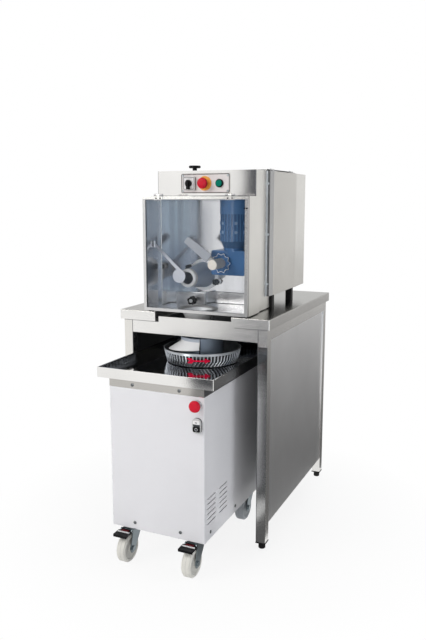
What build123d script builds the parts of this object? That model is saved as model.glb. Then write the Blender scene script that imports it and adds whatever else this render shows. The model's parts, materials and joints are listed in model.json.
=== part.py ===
from build123d import *
from math import atan2, cos, degrees, hypot, radians, sin, tan
import os

# Pizza dough divider on a steel table, with a bowl rounder on castors rolled in under the table.
# Millimetres. The front faces -y, x runs to the right and z = 0 is the floor.
# The origin lies under the middle of the whole object. Depths are measured from the table's front edge.

os.makedirs("parts", exist_ok=True)

# Fits shared by all pieces
SHEET = 2.0  # steel sheet of the table and the machine
SEAT_GAP = 0.2  # room between pieces that are joined but not fused
SLIDE_GAP = 0.4  # room between pieces that move past each other
SHAFT_GAP = 0.05  # radial room of a shaft in its bore
SCREW_R = 4.5
SCREW_H = 2.5
CART_SCREW_R = 5.8  # flanged heads on the cart

# Table
TABLE_W = 600.0
TABLE_D = 790.0
TABLE_H = 860.0
SKIRT_H = 36.0  # folded edge of the top
SKIRT_RETURN = 8.0
BEND_R = 3.0
LEG = 36.0  # square leg tube
LEG_WALL = 2.0
LEG_SETBACK = 11.0  # legs behind the edge of the top
FOOT_H = 27.0  # lower end of the legs above the floor
FOOT_FLANGE_H = 4.0
FOOT_R = 13.0
RAIL_H = 42.0  # side and back rails, below the skirt
RAIL_RETURN = 22.0
APRON_H = 49.0  # front apron, below the skirt
TONGUE_H = 18.0  # tongue of the apron inside the notch
TONGUE_GAP = 8.5
PANEL_Z = 90.0
PANEL_INSET = 4.0
PANEL_RETURN = 14.0
NOTCH_W = 306.0  # cut-out of the top for the drop funnel
NOTCH_X = 3.0
NOTCH_D = 172.0

# Divider housing
DIV_X = 10.5
DOOR_W = 412.0
DOOR_H = 417.0
DOOR_T = 12.0
DOOR_BAR = 11.0
DOOR_CORNER = 2.0
DOOR_GAP = 1.0  # between the door and the guard box
PANE_T = 4.0
PANE_GRIP = 5.0
PAD_H = 4.0  # pads under the guard box
GUARD_D = 122.0
BODY_STEP = 9.5  # body narrower than the guard box, on each side
CHAMBER_D = 245.0  # back of the chamber's rear wall
BODY_D = 665.0  # back of the rear housing
BODY_LIFT = 51.0  # rear housing above the table
LOWER_D = 251.0  # lower rear wall of the chamber, under the housing
STEP_D = 48.0  # box step in the chamber's left rear corner
STEP_H = 48.0
STEP_EDGE = 2.0  # step beyond the hatch plate
CONTROL_H = 92.0
CONTROL_D = 100.0  # front of the control box
COVER_T = 14.0  # side cover stands proud
COVER_D = 215.0
COVER_FOLD = 525.0
COVER_TAPER = 5.0
COVER_EDGE = 37.0  # sloped front margin
COVER_EDGE_DROP = 3.0
COVER_SCREW_END = 46.0
BLOCK_FOOT = 24.0
BLOCK_FOOT_D = (272.0, 506.0)
BLOCK_FOOT_OUT = 9.0  # feet reach out past the body
PAD_R = 10.0
PAD_INSET = 16.0

# Hinges of the door and the lid
HINGE_W = 35.0
HINGE_R = 4.0
HINGE_PIN_R = 1.8
HINGE_LEAF = 2.0
HINGE_LEAF_L = 22.0
DOOR_LEAF_H = 13.0
DOOR_HINGE_X = 140.0  # from the middle of the door
LID_D = 215.0
LID_L = 315.0
LID_T = 3.0
LID_HINGE_IN = 45.0  # hinges from the ends of the lid
LID_KNOB_IN = 22.0  # knob from the free edge of the lid
KNOB_R = 24.0
KNOB_T = 10.0
KNOB_H = 27.0
KNOB_STEM_R = 9.0
KNOB_FOOT_R = 12.0
KNOB_EDGE = 2.5

# Controls
PLATE_W = 196.0
PLATE_H = 72.0
PLATE_T = 1.5
PLATE_CORNER = 6.0
SWITCH_X = -62.0  # controls from the middle of the divider
STOP_X = -1.0
START_X = 57.0
BARREL_R = 11.0  # threaded barrels of the controls
BARREL_L = 24.0
SWITCH_PLATE = 47.5
SWITCH_PLATE_T = 9.0
SWITCH_KNOB_R = 12.5
SWITCH_GRIP = 34.0
SWITCH_GRIP_W = 9.0
SWITCH_GRIP_H = 14.0
STEM_R = 6.0
LEGEND_R = 26.0
LEGEND_T = 2.5
COLLAR_R = 15.0
COLLAR_T = 9.0
STOP_R = 20.0
STOP_HEAD_T = 17.0
STOP_TRAVEL = 6.0
# Outline of a stop head, as shares of its height and radius
STOP_PROFILE = ((0, 0), (0, 0.72), (0.22, 0.94), (0.45, 1), (0.72, 0.93), (0.92, 0.72), (1, 0.4), (1, 0))
BEZEL_T = 6.0
BUTTON_R = 11.5
BUTTON_RISE = 3.5
BUTTON_TRAVEL = 3.0

# Dough feed
NOZZLE_X = -73.5
NOZZLE_RISE = 115.0  # nozzle's axis above the underside of the guard box
BARREL_IN_R = 45.0
BARREL_WALL = 3.0
BARREL_END = 555.0
HOPPER_W = 300.0
HOPPER_L = 240.0
HOPPER_X = -8.0
HOPPER_D = 268.0
HOPPER_RIM = 12.0
HOPPER_WALL = 2.0
THROAT_W = 74.0
THROAT_L = 200.0
AUGER_SHAFT_R = 14.0
AUGER_GAP = 1.2
AUGER_BITE = 3.0  # flight set into the shaft
AUGER_PITCH = 66.0
AUGER_FLIGHT_T = 8.0
AUGER_START = 252.0
FLANGE_R = 62.0
FLANGE_T = 7.0
EAR_R = 13.0
EAR_ANGLE = -24.0
CONE_BACK_R = 50.0
CONE_FRONT_R = 33.0
SPOUT_R = 30.0
SPOUT_L = 12.0
OUTLET_D = 96.0  # front of the outlet ring
OUTLET_R = 35.0
OUTLET_BORE_R = 23.0
OUTLET_L = 20.0
OUTLET_LIP = 8.0
CLAMP_KNOB_R = 12.0
CLAMP_KNOB_L = 18.0
CLAMP_STEM_R = 4.0
DRIVE_BOX = 90.0
DRIVE_BOX_GAP = 11.0
DRIVE_MOTOR_R = 46.0
DRIVE_NECK_R = 32.0
DRIVE_MOTOR_L = 130.0

# Knife
KNIFE_X = 44.5
KNIFE_DROP = 246.0  # knife's axis below the top of the guard box
HUB_R = 18.5
HUB_FRONT = 60.0
HUB_SHAFT_R = 12.0
HUB_SHAFT_IN = 45.0
ARM_L = 46.0
ARM_W = 16.0
ARM_T = 12.0
BLADE_ANGLE = 144.0
BLADE_W = 36.0
BLADE_TIP_W = 27.0
BLADE_T = 3.0
BLADE_START = 34.0
BLADE_GAP = 0.8  # between the blade and the outlet ring
BLADE_WALL_GAP = 11.5
GEAR_LEFT = 45.0
GEAR_RIGHT = 91.0
GEAR_UP = 47.0
GEAR_DOWN = 46.0
GEAR_FRONT = 150.0
GEAR_CORNER = 8.0
LOBES = 10
LOBE_R = 37.0
LOBE_NOTCH_R = 11.0
LOBE_T = 10.0
MOTOR_X = 33.0  # motor's axis from the knife's axis
MOTOR_R = 50.0
MOTOR_NECK_R = 39.0
MOTOR_NECK_H = 8.0
MOTOR_BELL_H = 26.0
MOTOR_COWL_R = 53.0
MOTOR_COWL_L = 58.0
MOTOR_TOP_GAP = 5.0
MOTOR_FINS = 26
MOTOR_FIN_H = 1.6
MOTOR_FIN_W = 3.0
MOTOR_BOSS = 13.0
MOTOR_BOSS_ANGLES = (-20, -60, -120, -160)

# Dough paddle
PADDLE_X = -95.5
PADDLE_RISE = 125.0
PADDLE_D = 70.0
PADDLE_R = 26.0
PADDLE_T = 3.0
PADDLE_BAR_W = 14.0
PADDLE_BAR_TOP_W = 7.0
PADDLE_BAR_END = (6.0, 17.0)  # lower end of the bar from the disc's centre
PIVOT_RISE = 241.0
PIVOT_OFF = 6.5  # pivot from the guard box's wall
PIVOT_R = 2.5
PIVOT_SLEEVE_R = 4.5
PIVOT_SLEEVE_L = 24.0
LUG_T = 3.0
LUG_W = 10.0
LUG_REACH = 3.0  # lug beyond the pin's axis

# Hatch, star knob and drop funnel
HATCH_X = -107.5
HATCH_W = 122.0
HATCH_H = 45.0
HATCH_T = 6.0
STAR_X = -82.8
STAR_RISE = 22.0
STAR_FRONT = 144.0
STAR_R = 16.5
STAR_T = 22.0
STAR_LOBES = 5
STAR_NOTCH_R = 6.5
STAR_STEM_R = 5.0
STAR_CAP_R = 7.0
FUNNEL_X = -29.0
FUNNEL_D = 92.0
FUNNEL_FLANGE_R = 76.0
FUNNEL_FLANGE_T = 3.0
FUNNEL_TOP_R = 62.0
FUNNEL_R = 47.0
FUNNEL_CONE_H = 32.0
FUNNEL_WALL = 2.0
FUNNEL_END_GAP = 10.0  # funnel's end above the lower edge of the apron

# Rounder cart
CART_X = -8.0
CART_REACH = 258.0  # cabinet's front ahead of the table's edge
CABINET_D = 562.0
CABINET_SHEET = 1.5
CABINET_CORNER = 3.0
TRAY_SIDE_GAP = 33.0  # mean gap between the tray and the legs
TRAY_SIDE = 40.0  # tray wider than the cabinet, on each side
TRAY_END = 14.5
TRAY_DROP = 71.0  # rim below the apron
TRAY_H = 35.0
TRAY_WALL = 3.0
TRAY_FLOOR_T = 4.0
BAND_H = 31.0
BAND_T = 3.0
BASE_T = 3.0
BASE_EDGE_H = 45.0
VENT_ROWS = 6
VENT_PITCH = 17.8
VENT_L = 67.0
VENT_H = 3.2
VENT_Z = 58.5  # lowest slit above the cabinet's edge
VENT_D = (23.0, 122.0)  # columns from the cabinet's front
CART_SCREW_X = 89.0
CART_SCREW_RISE = 24.0
BAND_SCREW_DROP = 18.0
SIDE_SCREW_D = (47.0, 266.0, 490.0)
EDGE_NOTCH_R = 5.0
CART_STOP_EDGE = 24.0  # cart controls from the cabinet's right edge
CART_STOP_DROP = 26.0
TWIN_DROP = 96.0
TWIN_W = 33.0
TWIN_H = 52.0
TWIN_T = 9.0
TWIN_PITCH = 21.0
TWIN_BUTTON_W = 24.0
TWIN_BUTTON_H = 17.0
TWIN_STEM_R = 4.0

# Bowl, drum and deflector
BOWL_X = 11.0  # bowl right of the cart's middle
BOWL_D = 88.0
BOWL_R = 145.0
BOWL_FOOT_R = 134.0
BOWL_H = 53.0
BOWL_LIFT = 3.0
BOWL_WALL = 7.0
BOWL_FLOOR_T = 4.0
BOWL_RIM_H = 11.0
FLUTES = 66
FLUTE_R = 6.0
FLUTE_CUT = 4.2
FLUTE_KNEE = 18.0  # flutes slant below this height
FLUTE_TILT = 34.0
BOWL_HUB_R = 24.0
BOWL_HUB_H = 12.0
BOWL_SHAFT_R = 12.5
BOWL_SHAFT_L = 70.0
SHAFT_HOLE_R = 20.0
BOWL_BOX = 110.0
BOWL_BOX_H = 108.0
BOWL_MOTOR_R = 50.0
BOWL_MOTOR_L = 190.0
DRUM_R = 78.0
DRUM_WALL = 3.0
DRUM_LIFT = 33.0  # drum's lower edge above the tray's floor
DRUM_TOP_GAP = 7.0  # drum's top below the apron
DRUM_ARM_W = 40.0
DRUM_ARM_T = 14.0
DRUM_POST_T = 6.0
DRUM_POST_GAP = 14.0
DRUM_FOOT_L = 26.0
# Deflector: front end and rear end of its sheet
GUIDE_R = (100.0, 129.0)
GUIDE_NECK_H = (3.0, 18.0)
GUIDE_H = (37.0, 49.0)
GUIDE_T = 2.5
GUIDE_START = -72.0
GUIDE_ARC = 84.0
GUIDE_SECTIONS = 7

# Castors
WHEEL_R = 50.0
WHEEL_W = 35.0
WHEEL_EDGE = 5.0
WHEEL_DISH = 3.0
WHEEL_HUB_R = 15.0
CASTOR_HEAD_H = 30.0  # from the wheel's top to the base
CASTOR_INSET_X = 53.0
CASTOR_INSET_D = 46.0
TRAIL = 38.0
AXLE_R = 6.0
AXLE_NUT_R = 9.0
AXLE_NUT_T = 5.0
FORK_T = 3.0
FORK_GAP = 2.5
FORK_END_R = 15.0
FORK_BACK = 26.0  # crown behind the swivel axis
HEAD_R = 33.0
HEAD_T = 13.0
CROWN_T = 4.0
KING_R = 6.0
KING_NUT_R = 10.0
KING_NUT_T = 7.0
KING_HEAD_R = 9.0
PEDAL_REACH = 88.0  # pedal's tip ahead of the swivel axis
PEDAL_W = 54.0
PEDAL_T = 5.0
PEDAL_LIP = 9.0
PEDAL_TONGUE_W = 34.0
PEDAL_PIVOT = 40.0  # pedal's pin ahead of the swivel axis
PEDAL_PIN_R = 3.0
PEDAL_EAR_R = 7.0

# Places worked out from the values above
FRONT_REACH = CART_REACH - CASTOR_INSET_D + PEDAL_REACH
FRONT = (FRONT_REACH - TABLE_D) / 2
BACK = FRONT + TABLE_D
HALF_W = TABLE_W / 2
SKIRT_Z = TABLE_H - SKIRT_H
LEG_OUT = HALF_W - LEG_SETBACK
LEG_IN = LEG_OUT - LEG
LEG_TOP = TABLE_H - SHEET
RAIL_Z = SKIRT_Z - RAIL_H
APRON_Z = SKIRT_Z - APRON_H
FLOOR_Z = TABLE_H + PAD_H
FLOOR_TOP = FLOOR_Z + SHEET
GUARD_TOP = FLOOR_Z + DOOR_H + DOOR_GAP
BODY_Z = TABLE_H + BODY_LIFT
BODY_TOP = GUARD_TOP + CONTROL_H
GUARD_L = DIV_X - DOOR_W / 2
GUARD_R = DIV_X + DOOR_W / 2
BODY_L = GUARD_L + BODY_STEP
BODY_R = GUARD_R - BODY_STEP
WALL_FRONT = CHAMBER_D - SHEET
STEP_FRONT = WALL_FRONT - STEP_D
CASTOR_H = 2 * WHEEL_R + CASTOR_HEAD_H
TRAY_RIM = APRON_Z - TRAY_DROP
TRAY_Z = TRAY_RIM - TRAY_H
TRAY_FLOOR = TRAY_Z + TRAY_FLOOR_T
TRAY_HALF = LEG_IN - TRAY_SIDE_GAP
CABINET_TOP = TRAY_Z - BAND_H
CABINET_HALF = TRAY_HALF - TRAY_SIDE
CABINET_BACK = CABINET_D - CART_REACH
DRUM_TOP = APRON_Z - DRUM_TOP_GAP


def depth(distance):
    """Row y of a point that lies this far behind the table's front edge."""
    return FRONT + distance


def deep(start, end):
    """Span of y between two depths."""
    return (depth(start), depth(end))


def around(middle, half):
    """Span of one coordinate about its middle."""
    return (middle - half, middle + half)


def block(x, y, z, mode=Mode.ADD):
    """Box between two limits along each axis."""
    middle = [(low + high) / 2 for low, high in (x, y, z)]
    size = [high - low for low, high in (x, y, z)]
    with Locations(tuple(middle)):
        Box(*size, mode=mode)


def rod(point, along, radius, length, mode=Mode.ADD):
    """Round bar that starts at a point and runs along a direction."""
    with Locations(Plane(origin=point, z_dir=along)):
        Cylinder(radius, length, align=(Align.CENTER, Align.CENTER, Align.MIN), mode=mode)


def turned(points, origin, along, mode=Mode.ADD, arc=360.0):
    """Solid of revolution, from points of (distance along the axis, radius)."""
    side = (1, 0, 0) if abs(along[0]) < 0.5 else (0, 0, 1)
    with BuildSketch(Plane(origin=origin, x_dir=along, z_dir=side)) as section:
        with BuildLine():
            Polyline(*points, close=True)
        make_face()
    revolve(section.sketch, axis=Axis(origin, along), revolution_arc=arc, mode=mode)


def prism(points, plane, height, mode=Mode.ADD):
    """Straight-sided outline drawn on a plane and raised along its normal."""
    with BuildSketch(plane) as outline:
        with BuildLine():
            Polyline(*points, close=True)
        make_face()
    extrude(outline.sketch, amount=height, mode=mode)


def scalloped(plane, radius, lobes, notch_radius, height, mode=Mode.ADD):
    """Disc with round notches between its lobes."""
    with BuildSketch(plane) as outline:
        Circle(radius)
        with PolarLocations(radius + notch_radius / 2, lobes, start_angle=180 / lobes):
            Circle(notch_radius, mode=Mode.SUBTRACT)
    extrude(outline.sketch, amount=height, mode=mode)


def rounded_plate(centre, width, height, corner, thickness, mode=Mode.ADD):
    """Upright plate with round corners; its back face is at the centre's y and it faces the front."""
    with BuildSketch(Plane(origin=centre, x_dir=(1, 0, 0), z_dir=(0, -1, 0))) as outline:
        RectangleRounded(width, height, corner)
    extrude(outline.sketch, amount=thickness, mode=mode)


def screw_head(point, outward, radius=SCREW_R):
    """Low round screw head standing on a face."""
    turned(
        [(0, 0), (0, radius), (SCREW_H / 2, radius), (SCREW_H, radius / 2), (SCREW_H, 0)],
        point,
        outward,
    )


def save(builder, name):
    """Label a finished piece and write its file."""
    builder.part.label = name
    export_step(builder.part, f"parts/{name}.step")


TO_FRONT = (0, -1, 0)
TO_BACK = (0, 1, 0)
TO_RIGHT = (1, 0, 0)
TO_LEFT = (-1, 0, 0)
UP = (0, 0, 1)
DOWN = (0, 0, -1)

# Table top: folded pan with a notch for the funnel
with BuildPart() as table_top:
    block((-HALF_W, HALF_W), (FRONT, BACK), (SKIRT_Z, TABLE_H))
    fillet(table_top.edges().filter_by(Axis.Z), BEND_R)
    fillet(table_top.faces().sort_by(Axis.Z)[-1].edges(), BEND_R - SHEET / 2)
    pan_z = (SKIRT_Z + SHEET, TABLE_H - SHEET)
    block(around(0, HALF_W - SHEET), (FRONT + SHEET, BACK - SHEET), pan_z, Mode.SUBTRACT)
    lip = SHEET + SKIRT_RETURN
    block(around(0, HALF_W - lip), (FRONT + lip, BACK - lip), (SKIRT_Z, SKIRT_Z + SHEET), Mode.SUBTRACT)
    block(around(NOTCH_X, NOTCH_W / 2), deep(-SHEET, NOTCH_D), (SKIRT_Z, TABLE_H), Mode.SUBTRACT)
save(table_top, "table_top")

# Table frame: legs, apron and rails
with BuildPart() as table_frame:
    leg_middle = LEG_OUT - LEG / 2
    leg_rows = (FRONT + LEG_SETBACK + LEG / 2, BACK - LEG_SETBACK - LEG / 2)
    for x in (-leg_middle, leg_middle):
        for y in leg_rows:
            block(around(x, LEG / 2), around(y, LEG / 2), (FOOT_H, LEG_TOP))
            bore = LEG / 2 - LEG_WALL
            block(around(x, bore), around(y, bore), (FOOT_H, LEG_TOP), Mode.SUBTRACT)
    rail_half = LEG_IN - SEAT_GAP
    apron_y = depth(LEG_SETBACK)
    tongue_left = NOTCH_X - NOTCH_W / 2 + TONGUE_GAP
    tongue_right = NOTCH_X + NOTCH_W / 2 + TONGUE_GAP
    block(around(0, rail_half), (apron_y, apron_y + SHEET), (APRON_Z, SKIRT_Z))
    block((tongue_left, tongue_right), (apron_y, apron_y + SHEET), (SKIRT_Z, SKIRT_Z + TONGUE_H))
    block(around(0, rail_half), (apron_y, apron_y + LEG - SHEET), (APRON_Z, APRON_Z + SHEET))
    rail_y = (leg_rows[0] + LEG / 2 + SEAT_GAP, leg_rows[1] - LEG / 2 - SEAT_GAP)
    for side in (-1, 1):
        wall = sorted((side * LEG_OUT, side * (LEG_OUT - SHEET)))
        ledge = sorted((side * LEG_OUT, side * (LEG_OUT - RAIL_RETURN)))
        block(wall, rail_y, (RAIL_Z, LEG_TOP))
        block(ledge, rail_y, (RAIL_Z, RAIL_Z + SHEET))
    back_y = BACK - LEG_SETBACK
    block(around(0, rail_half), (back_y - SHEET, back_y), (RAIL_Z, LEG_TOP))
    block(around(0, rail_half), (back_y - RAIL_RETURN, back_y), (RAIL_Z, RAIL_Z + SHEET))
save(table_frame, "table_frame")

# Table panels: closed sides and back, set in between the legs
with BuildPart() as table_panels:
    panel_z = (PANEL_Z, RAIL_Z - SEAT_GAP)
    fold_z = (PANEL_Z, PANEL_Z + SHEET)
    for side in (-1, 1):
        face = side * (LEG_OUT - PANEL_INSET)
        block(sorted((face, face - side * SHEET)), rail_y, panel_z)
        block(sorted((face, face - side * PANEL_RETURN)), rail_y, fold_z)
    face = back_y - PANEL_INSET
    block(around(0, rail_half), (face - SHEET, face), panel_z)
    block(around(0, rail_half), (face - PANEL_RETURN, face), fold_z)
save(table_panels, "table_panels")

# Levelling feet under the legs
with BuildPart() as levelling_feet:
    for x in (-leg_middle, leg_middle):
        for y in leg_rows:
            flange_half = LEG / 2 + LEG_WALL / 2
            block(around(x, flange_half), around(y, flange_half), (FOOT_H - FOOT_FLANGE_H, FOOT_H))
            edge = FOOT_R / 6
            stem = FOOT_H - FOOT_FLANGE_H
            foot = [(0, 0), (0, FOOT_R - edge), (edge, FOOT_R), (stem, FOOT_R), (stem, 0)]
            turned(foot, (x, y, 0), UP)
save(levelling_feet, "levelling_feet")

# Guard box: walls, floor and ledge of the cutting chamber, with the paddle's pivot lugs
nozzle = (DIV_X + NOZZLE_X, FLOOR_Z + NOZZLE_RISE)
funnel = (DIV_X + FUNNEL_X, depth(FUNNEL_D))
pivot = (GUARD_L + SHEET + PIVOT_OFF, depth(PADDLE_D + PADDLE_T / 2), FLOOR_Z + PIVOT_RISE)
guard_y = deep(DOOR_T + DOOR_GAP, GUARD_D)
with BuildPart() as guard_box:
    block((GUARD_L, GUARD_L + SHEET), guard_y, (FLOOR_Z, GUARD_TOP))
    block((GUARD_R - SHEET, GUARD_R), guard_y, (FLOOR_Z, GUARD_TOP))
    block((GUARD_L, GUARD_R), guard_y, (GUARD_TOP - SHEET, GUARD_TOP))
    block((GUARD_L, GUARD_R), guard_y, (FLOOR_Z, FLOOR_TOP))
    floor_x = (BODY_L + SHEET + SEAT_GAP, BODY_R - SHEET - SEAT_GAP)
    block(floor_x, deep(GUARD_D, LOWER_D + SHEET), (FLOOR_Z, FLOOR_TOP))
    for step_x in ((GUARD_L, BODY_L), (BODY_R, GUARD_R)):
        block(step_x, deep(GUARD_D - SHEET, GUARD_D), (FLOOR_Z, GUARD_TOP))
    rod((*funnel, FLOOR_Z), UP, FUNNEL_TOP_R + SEAT_GAP, SHEET, Mode.SUBTRACT)
    lug_x = (GUARD_L + SHEET, pivot[0] + LUG_REACH)
    lug_gap = PIVOT_SLEEVE_L / 2 + SLIDE_GAP
    for low in (pivot[2] - lug_gap - LUG_T, pivot[2] + lug_gap):
        block(lug_x, around(pivot[1], LUG_W / 2), (low, low + LUG_T))
    rod((pivot[0], pivot[1], pivot[2] - lug_gap), UP, PIVOT_R, 2 * lug_gap)
save(guard_box, "guard_box")

# Body shell: rear housing with the chamber's rear walls, corner step and cheeks
hopper_x = DIV_X + HOPPER_X
hopper_y = depth(HOPPER_D + HOPPER_L / 2)
with BuildPart() as body_shell:
    block((BODY_L, BODY_R), deep(CHAMBER_D - SHEET, BODY_D), (BODY_Z, BODY_TOP))
    hollow_x = (BODY_L + SHEET, BODY_R - SHEET)
    block(hollow_x, deep(CHAMBER_D, BODY_D - SHEET), (BODY_Z + SHEET, BODY_TOP - SHEET), Mode.SUBTRACT)
    for cheek in ((BODY_L, BODY_L + SHEET), (BODY_R - SHEET, BODY_R)):
        block(cheek, deep(GUARD_D + SEAT_GAP, WALL_FRONT), (BODY_Z, GUARD_TOP))
        block(cheek, deep(GUARD_D + SEAT_GAP, LOWER_D + SHEET), (FLOOR_Z, BODY_Z))
    lower_z = FLOOR_TOP + SEAT_GAP
    step_top = FLOOR_TOP + STEP_H
    step_right = DIV_X + HATCH_X + HATCH_W / 2 + STEP_EDGE
    step_x = (hollow_x[0], step_right)
    step_side = (step_right - SHEET, step_right)
    block(hollow_x, deep(LOWER_D, LOWER_D + SHEET), (lower_z, BODY_Z))
    block(step_x, deep(STEP_FRONT, STEP_FRONT + SHEET), (lower_z, step_top))
    block(step_x, deep(STEP_FRONT, WALL_FRONT), (step_top - SHEET, step_top))
    block(step_side, deep(STEP_FRONT, LOWER_D), (lower_z, BODY_Z))
    block(step_side, deep(STEP_FRONT, WALL_FRONT), (BODY_Z, step_top))
    block(
        around(hopper_x, HOPPER_W / 2 + SEAT_GAP),
        around(hopper_y, HOPPER_L / 2 + SEAT_GAP),
        (BODY_TOP - SHEET, BODY_TOP),
        Mode.SUBTRACT,
    )
    rod((nozzle[0], depth(CHAMBER_D), nozzle[1]), TO_FRONT, BARREL_IN_R, SHEET, Mode.SUBTRACT)
save(body_shell, "body_shell")

# Side cover: shallow pan on the right side of the housing, with one shallow fold
with BuildPart() as side_cover:
    cover_z = Plane.XY.offset(BODY_Z)
    outer = BODY_R + COVER_T
    cover = [
        (BODY_R, depth(COVER_D)),
        (outer - COVER_EDGE_DROP, depth(COVER_D)),
        (outer, depth(COVER_D + COVER_EDGE)),
        (outer, depth(COVER_FOLD)),
        (outer - COVER_TAPER, depth(BODY_D)),
        (BODY_R, depth(BODY_D)),
    ]
    hollow = [
        (BODY_R, depth(COVER_D + SHEET)),
        (outer - COVER_EDGE_DROP - SHEET, depth(COVER_D + SHEET)),
        (outer - SHEET, depth(COVER_D + COVER_EDGE)),
        (outer - SHEET, depth(COVER_FOLD)),
        (outer - COVER_TAPER - SHEET, depth(BODY_D - SHEET)),
        (BODY_R, depth(BODY_D - SHEET)),
    ]
    prism(cover, cover_z, BODY_TOP - BODY_Z)
    prism(hollow, Plane.XY.offset(BODY_Z + SHEET), BODY_TOP - BODY_Z - 2 * SHEET, Mode.SUBTRACT)
save(side_cover, "side_cover")

# Divider feet: blocks under the rear housing and pads under the guard box
with BuildPart() as divider_feet:
    for side, face in ((-1, BODY_L), (1, BODY_R)):
        for row in BLOCK_FOOT_D:
            x = face + side * (BLOCK_FOOT_OUT - BLOCK_FOOT / 2)
            block(around(x, BLOCK_FOOT / 2), around(depth(row), BLOCK_FOOT / 2), (TABLE_H, BODY_Z))
        pad_x = (GUARD_L if side < 0 else GUARD_R) - side * PAD_INSET
        rod((pad_x, depth(DOOR_T + PAD_INSET), TABLE_H), UP, PAD_R, PAD_H)
save(divider_feet, "divider_feet")

# Control box above the ledge, with holes for the controls' barrels
control_z = GUARD_TOP + CONTROL_H / 2
control_x = [DIV_X + offset for offset in (SWITCH_X, STOP_X, START_X)]
with BuildPart() as control_box:
    block((BODY_L, BODY_R), deep(CONTROL_D, WALL_FRONT), (GUARD_TOP, BODY_TOP))
    fillet(control_box.edges().filter_by(Axis.Z).group_by(Axis.Y)[0], BEND_R)
    inner_z = (GUARD_TOP + SHEET, BODY_TOP - SHEET)
    block(hollow_x, deep(CONTROL_D + SHEET, WALL_FRONT), inner_z, Mode.SUBTRACT)
    for x in control_x:
        rod((x, depth(CONTROL_D + SHEET), control_z), TO_FRONT, BARREL_R + SEAT_GAP, SHEET, Mode.SUBTRACT)
save(control_box, "control_box")

# Control plate with the same three holes
with BuildPart() as control_plate:
    plate_back = depth(CONTROL_D)
    rounded_plate((DIV_X, plate_back, control_z), PLATE_W, PLATE_H, PLATE_CORNER, PLATE_T)
    for x in control_x:
        rod((x, plate_back, control_z), TO_FRONT, BARREL_R + SEAT_GAP, PLATE_T, Mode.SUBTRACT)
save(control_plate, "control_plate")

plate_front = depth(CONTROL_D) - PLATE_T


def barrel(x, face, z, bore):
    """Barrel of a control from the face that it stands on back through the wall, with its bore."""
    rod((x, face, z), TO_BACK, BARREL_R, BARREL_L)
    rod((x, face, z), TO_BACK, bore, BARREL_L, Mode.SUBTRACT)


# Main switch: square base and turning handle
with BuildPart() as switch_base:
    rounded_plate((control_x[0], plate_front, control_z), SWITCH_PLATE, SWITCH_PLATE, BEND_R, SWITCH_PLATE_T)
    switch_front = plate_front - SWITCH_PLATE_T
    barrel(control_x[0], switch_front, control_z, STEM_R + SHAFT_GAP)
save(switch_base, "switch_base")

with BuildPart() as switch_handle:
    handle_back = switch_front - SLIDE_GAP
    rod((control_x[0], handle_back, control_z), TO_FRONT, SWITCH_KNOB_R, SWITCH_GRIP_H / 2)
    rod((control_x[0], handle_back, control_z), TO_BACK, STEM_R, BARREL_L / 2)
    block(
        around(control_x[0], SWITCH_GRIP_W / 2),
        (handle_back - SWITCH_GRIP_H, handle_back),
        (control_z - SWITCH_GRIP / 2 - SWITCH_GRIP_W / 2, control_z + SWITCH_GRIP / 2 - SWITCH_GRIP_W / 2),
    )
    fillet(switch_handle.faces().sort_by(Axis.Y)[0].edges(), SWITCH_GRIP_W / 5)
save(switch_handle, "switch_handle")


def stop_collar(x, face, z, legend):
    """Collar of an emergency stop, standing on a face, with or without a round legend disc."""
    if legend:
        rod((x, face, z), TO_FRONT, LEGEND_R, LEGEND_T)
    rod((x, face, z), TO_FRONT, COLLAR_R, COLLAR_T)
    rod((x, face, z), TO_BACK, BARREL_R, BARREL_L)
    rod((x, face - COLLAR_T, z), TO_BACK, STEM_R + SHAFT_GAP, COLLAR_T + BARREL_L, Mode.SUBTRACT)


def stop_head(x, face, z):
    """Mushroom head and stem of an emergency stop whose collar stands on a face."""
    underside = face - COLLAR_T - STOP_TRAVEL - SLIDE_GAP
    mushroom = [(up * STOP_HEAD_T, out * STOP_R) for up, out in STOP_PROFILE]
    turned(mushroom, (x, underside, z), TO_FRONT)
    rod((x, underside, z), TO_BACK, STEM_R, STOP_TRAVEL + COLLAR_T + BARREL_L / 2)


with BuildPart() as estop_collar:
    stop_collar(control_x[1], plate_front, control_z, True)
save(estop_collar, "estop_collar")

with BuildPart() as estop_head:
    stop_head(control_x[1], plate_front, control_z)
save(estop_head, "estop_head")

# Start button: bezel ring and sprung cap
with BuildPart() as start_bezel:
    rod((control_x[2], plate_front, control_z), TO_FRONT, COLLAR_R, BEZEL_T)
    bezel_front = plate_front - BEZEL_T
    chamfer(start_bezel.faces().sort_by(Axis.Y)[0].edges(), BEZEL_T / 4)
    cap_bore = BUTTON_R + SLIDE_GAP
    rod((control_x[2], bezel_front, control_z), TO_BACK, cap_bore, BEZEL_T - SHEET, Mode.SUBTRACT)
    barrel(control_x[2], plate_front - SHEET, control_z, STEM_R + SHAFT_GAP)
save(start_bezel, "start_bezel")

with BuildPart() as start_button:
    cap_back = plate_front - SHEET - BUTTON_TRAVEL - SLIDE_GAP
    cap_l = cap_back - bezel_front + BUTTON_RISE
    rod((control_x[2], cap_back, control_z), TO_FRONT, BUTTON_R, cap_l)
    chamfer(start_button.faces().sort_by(Axis.Y)[0].edges(), BUTTON_RISE / 4)
    rod((control_x[2], cap_back, control_z), TO_BACK, STEM_R, BUTTON_TRAVEL + BARREL_L / 2)
save(start_button, "start_button")

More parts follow.
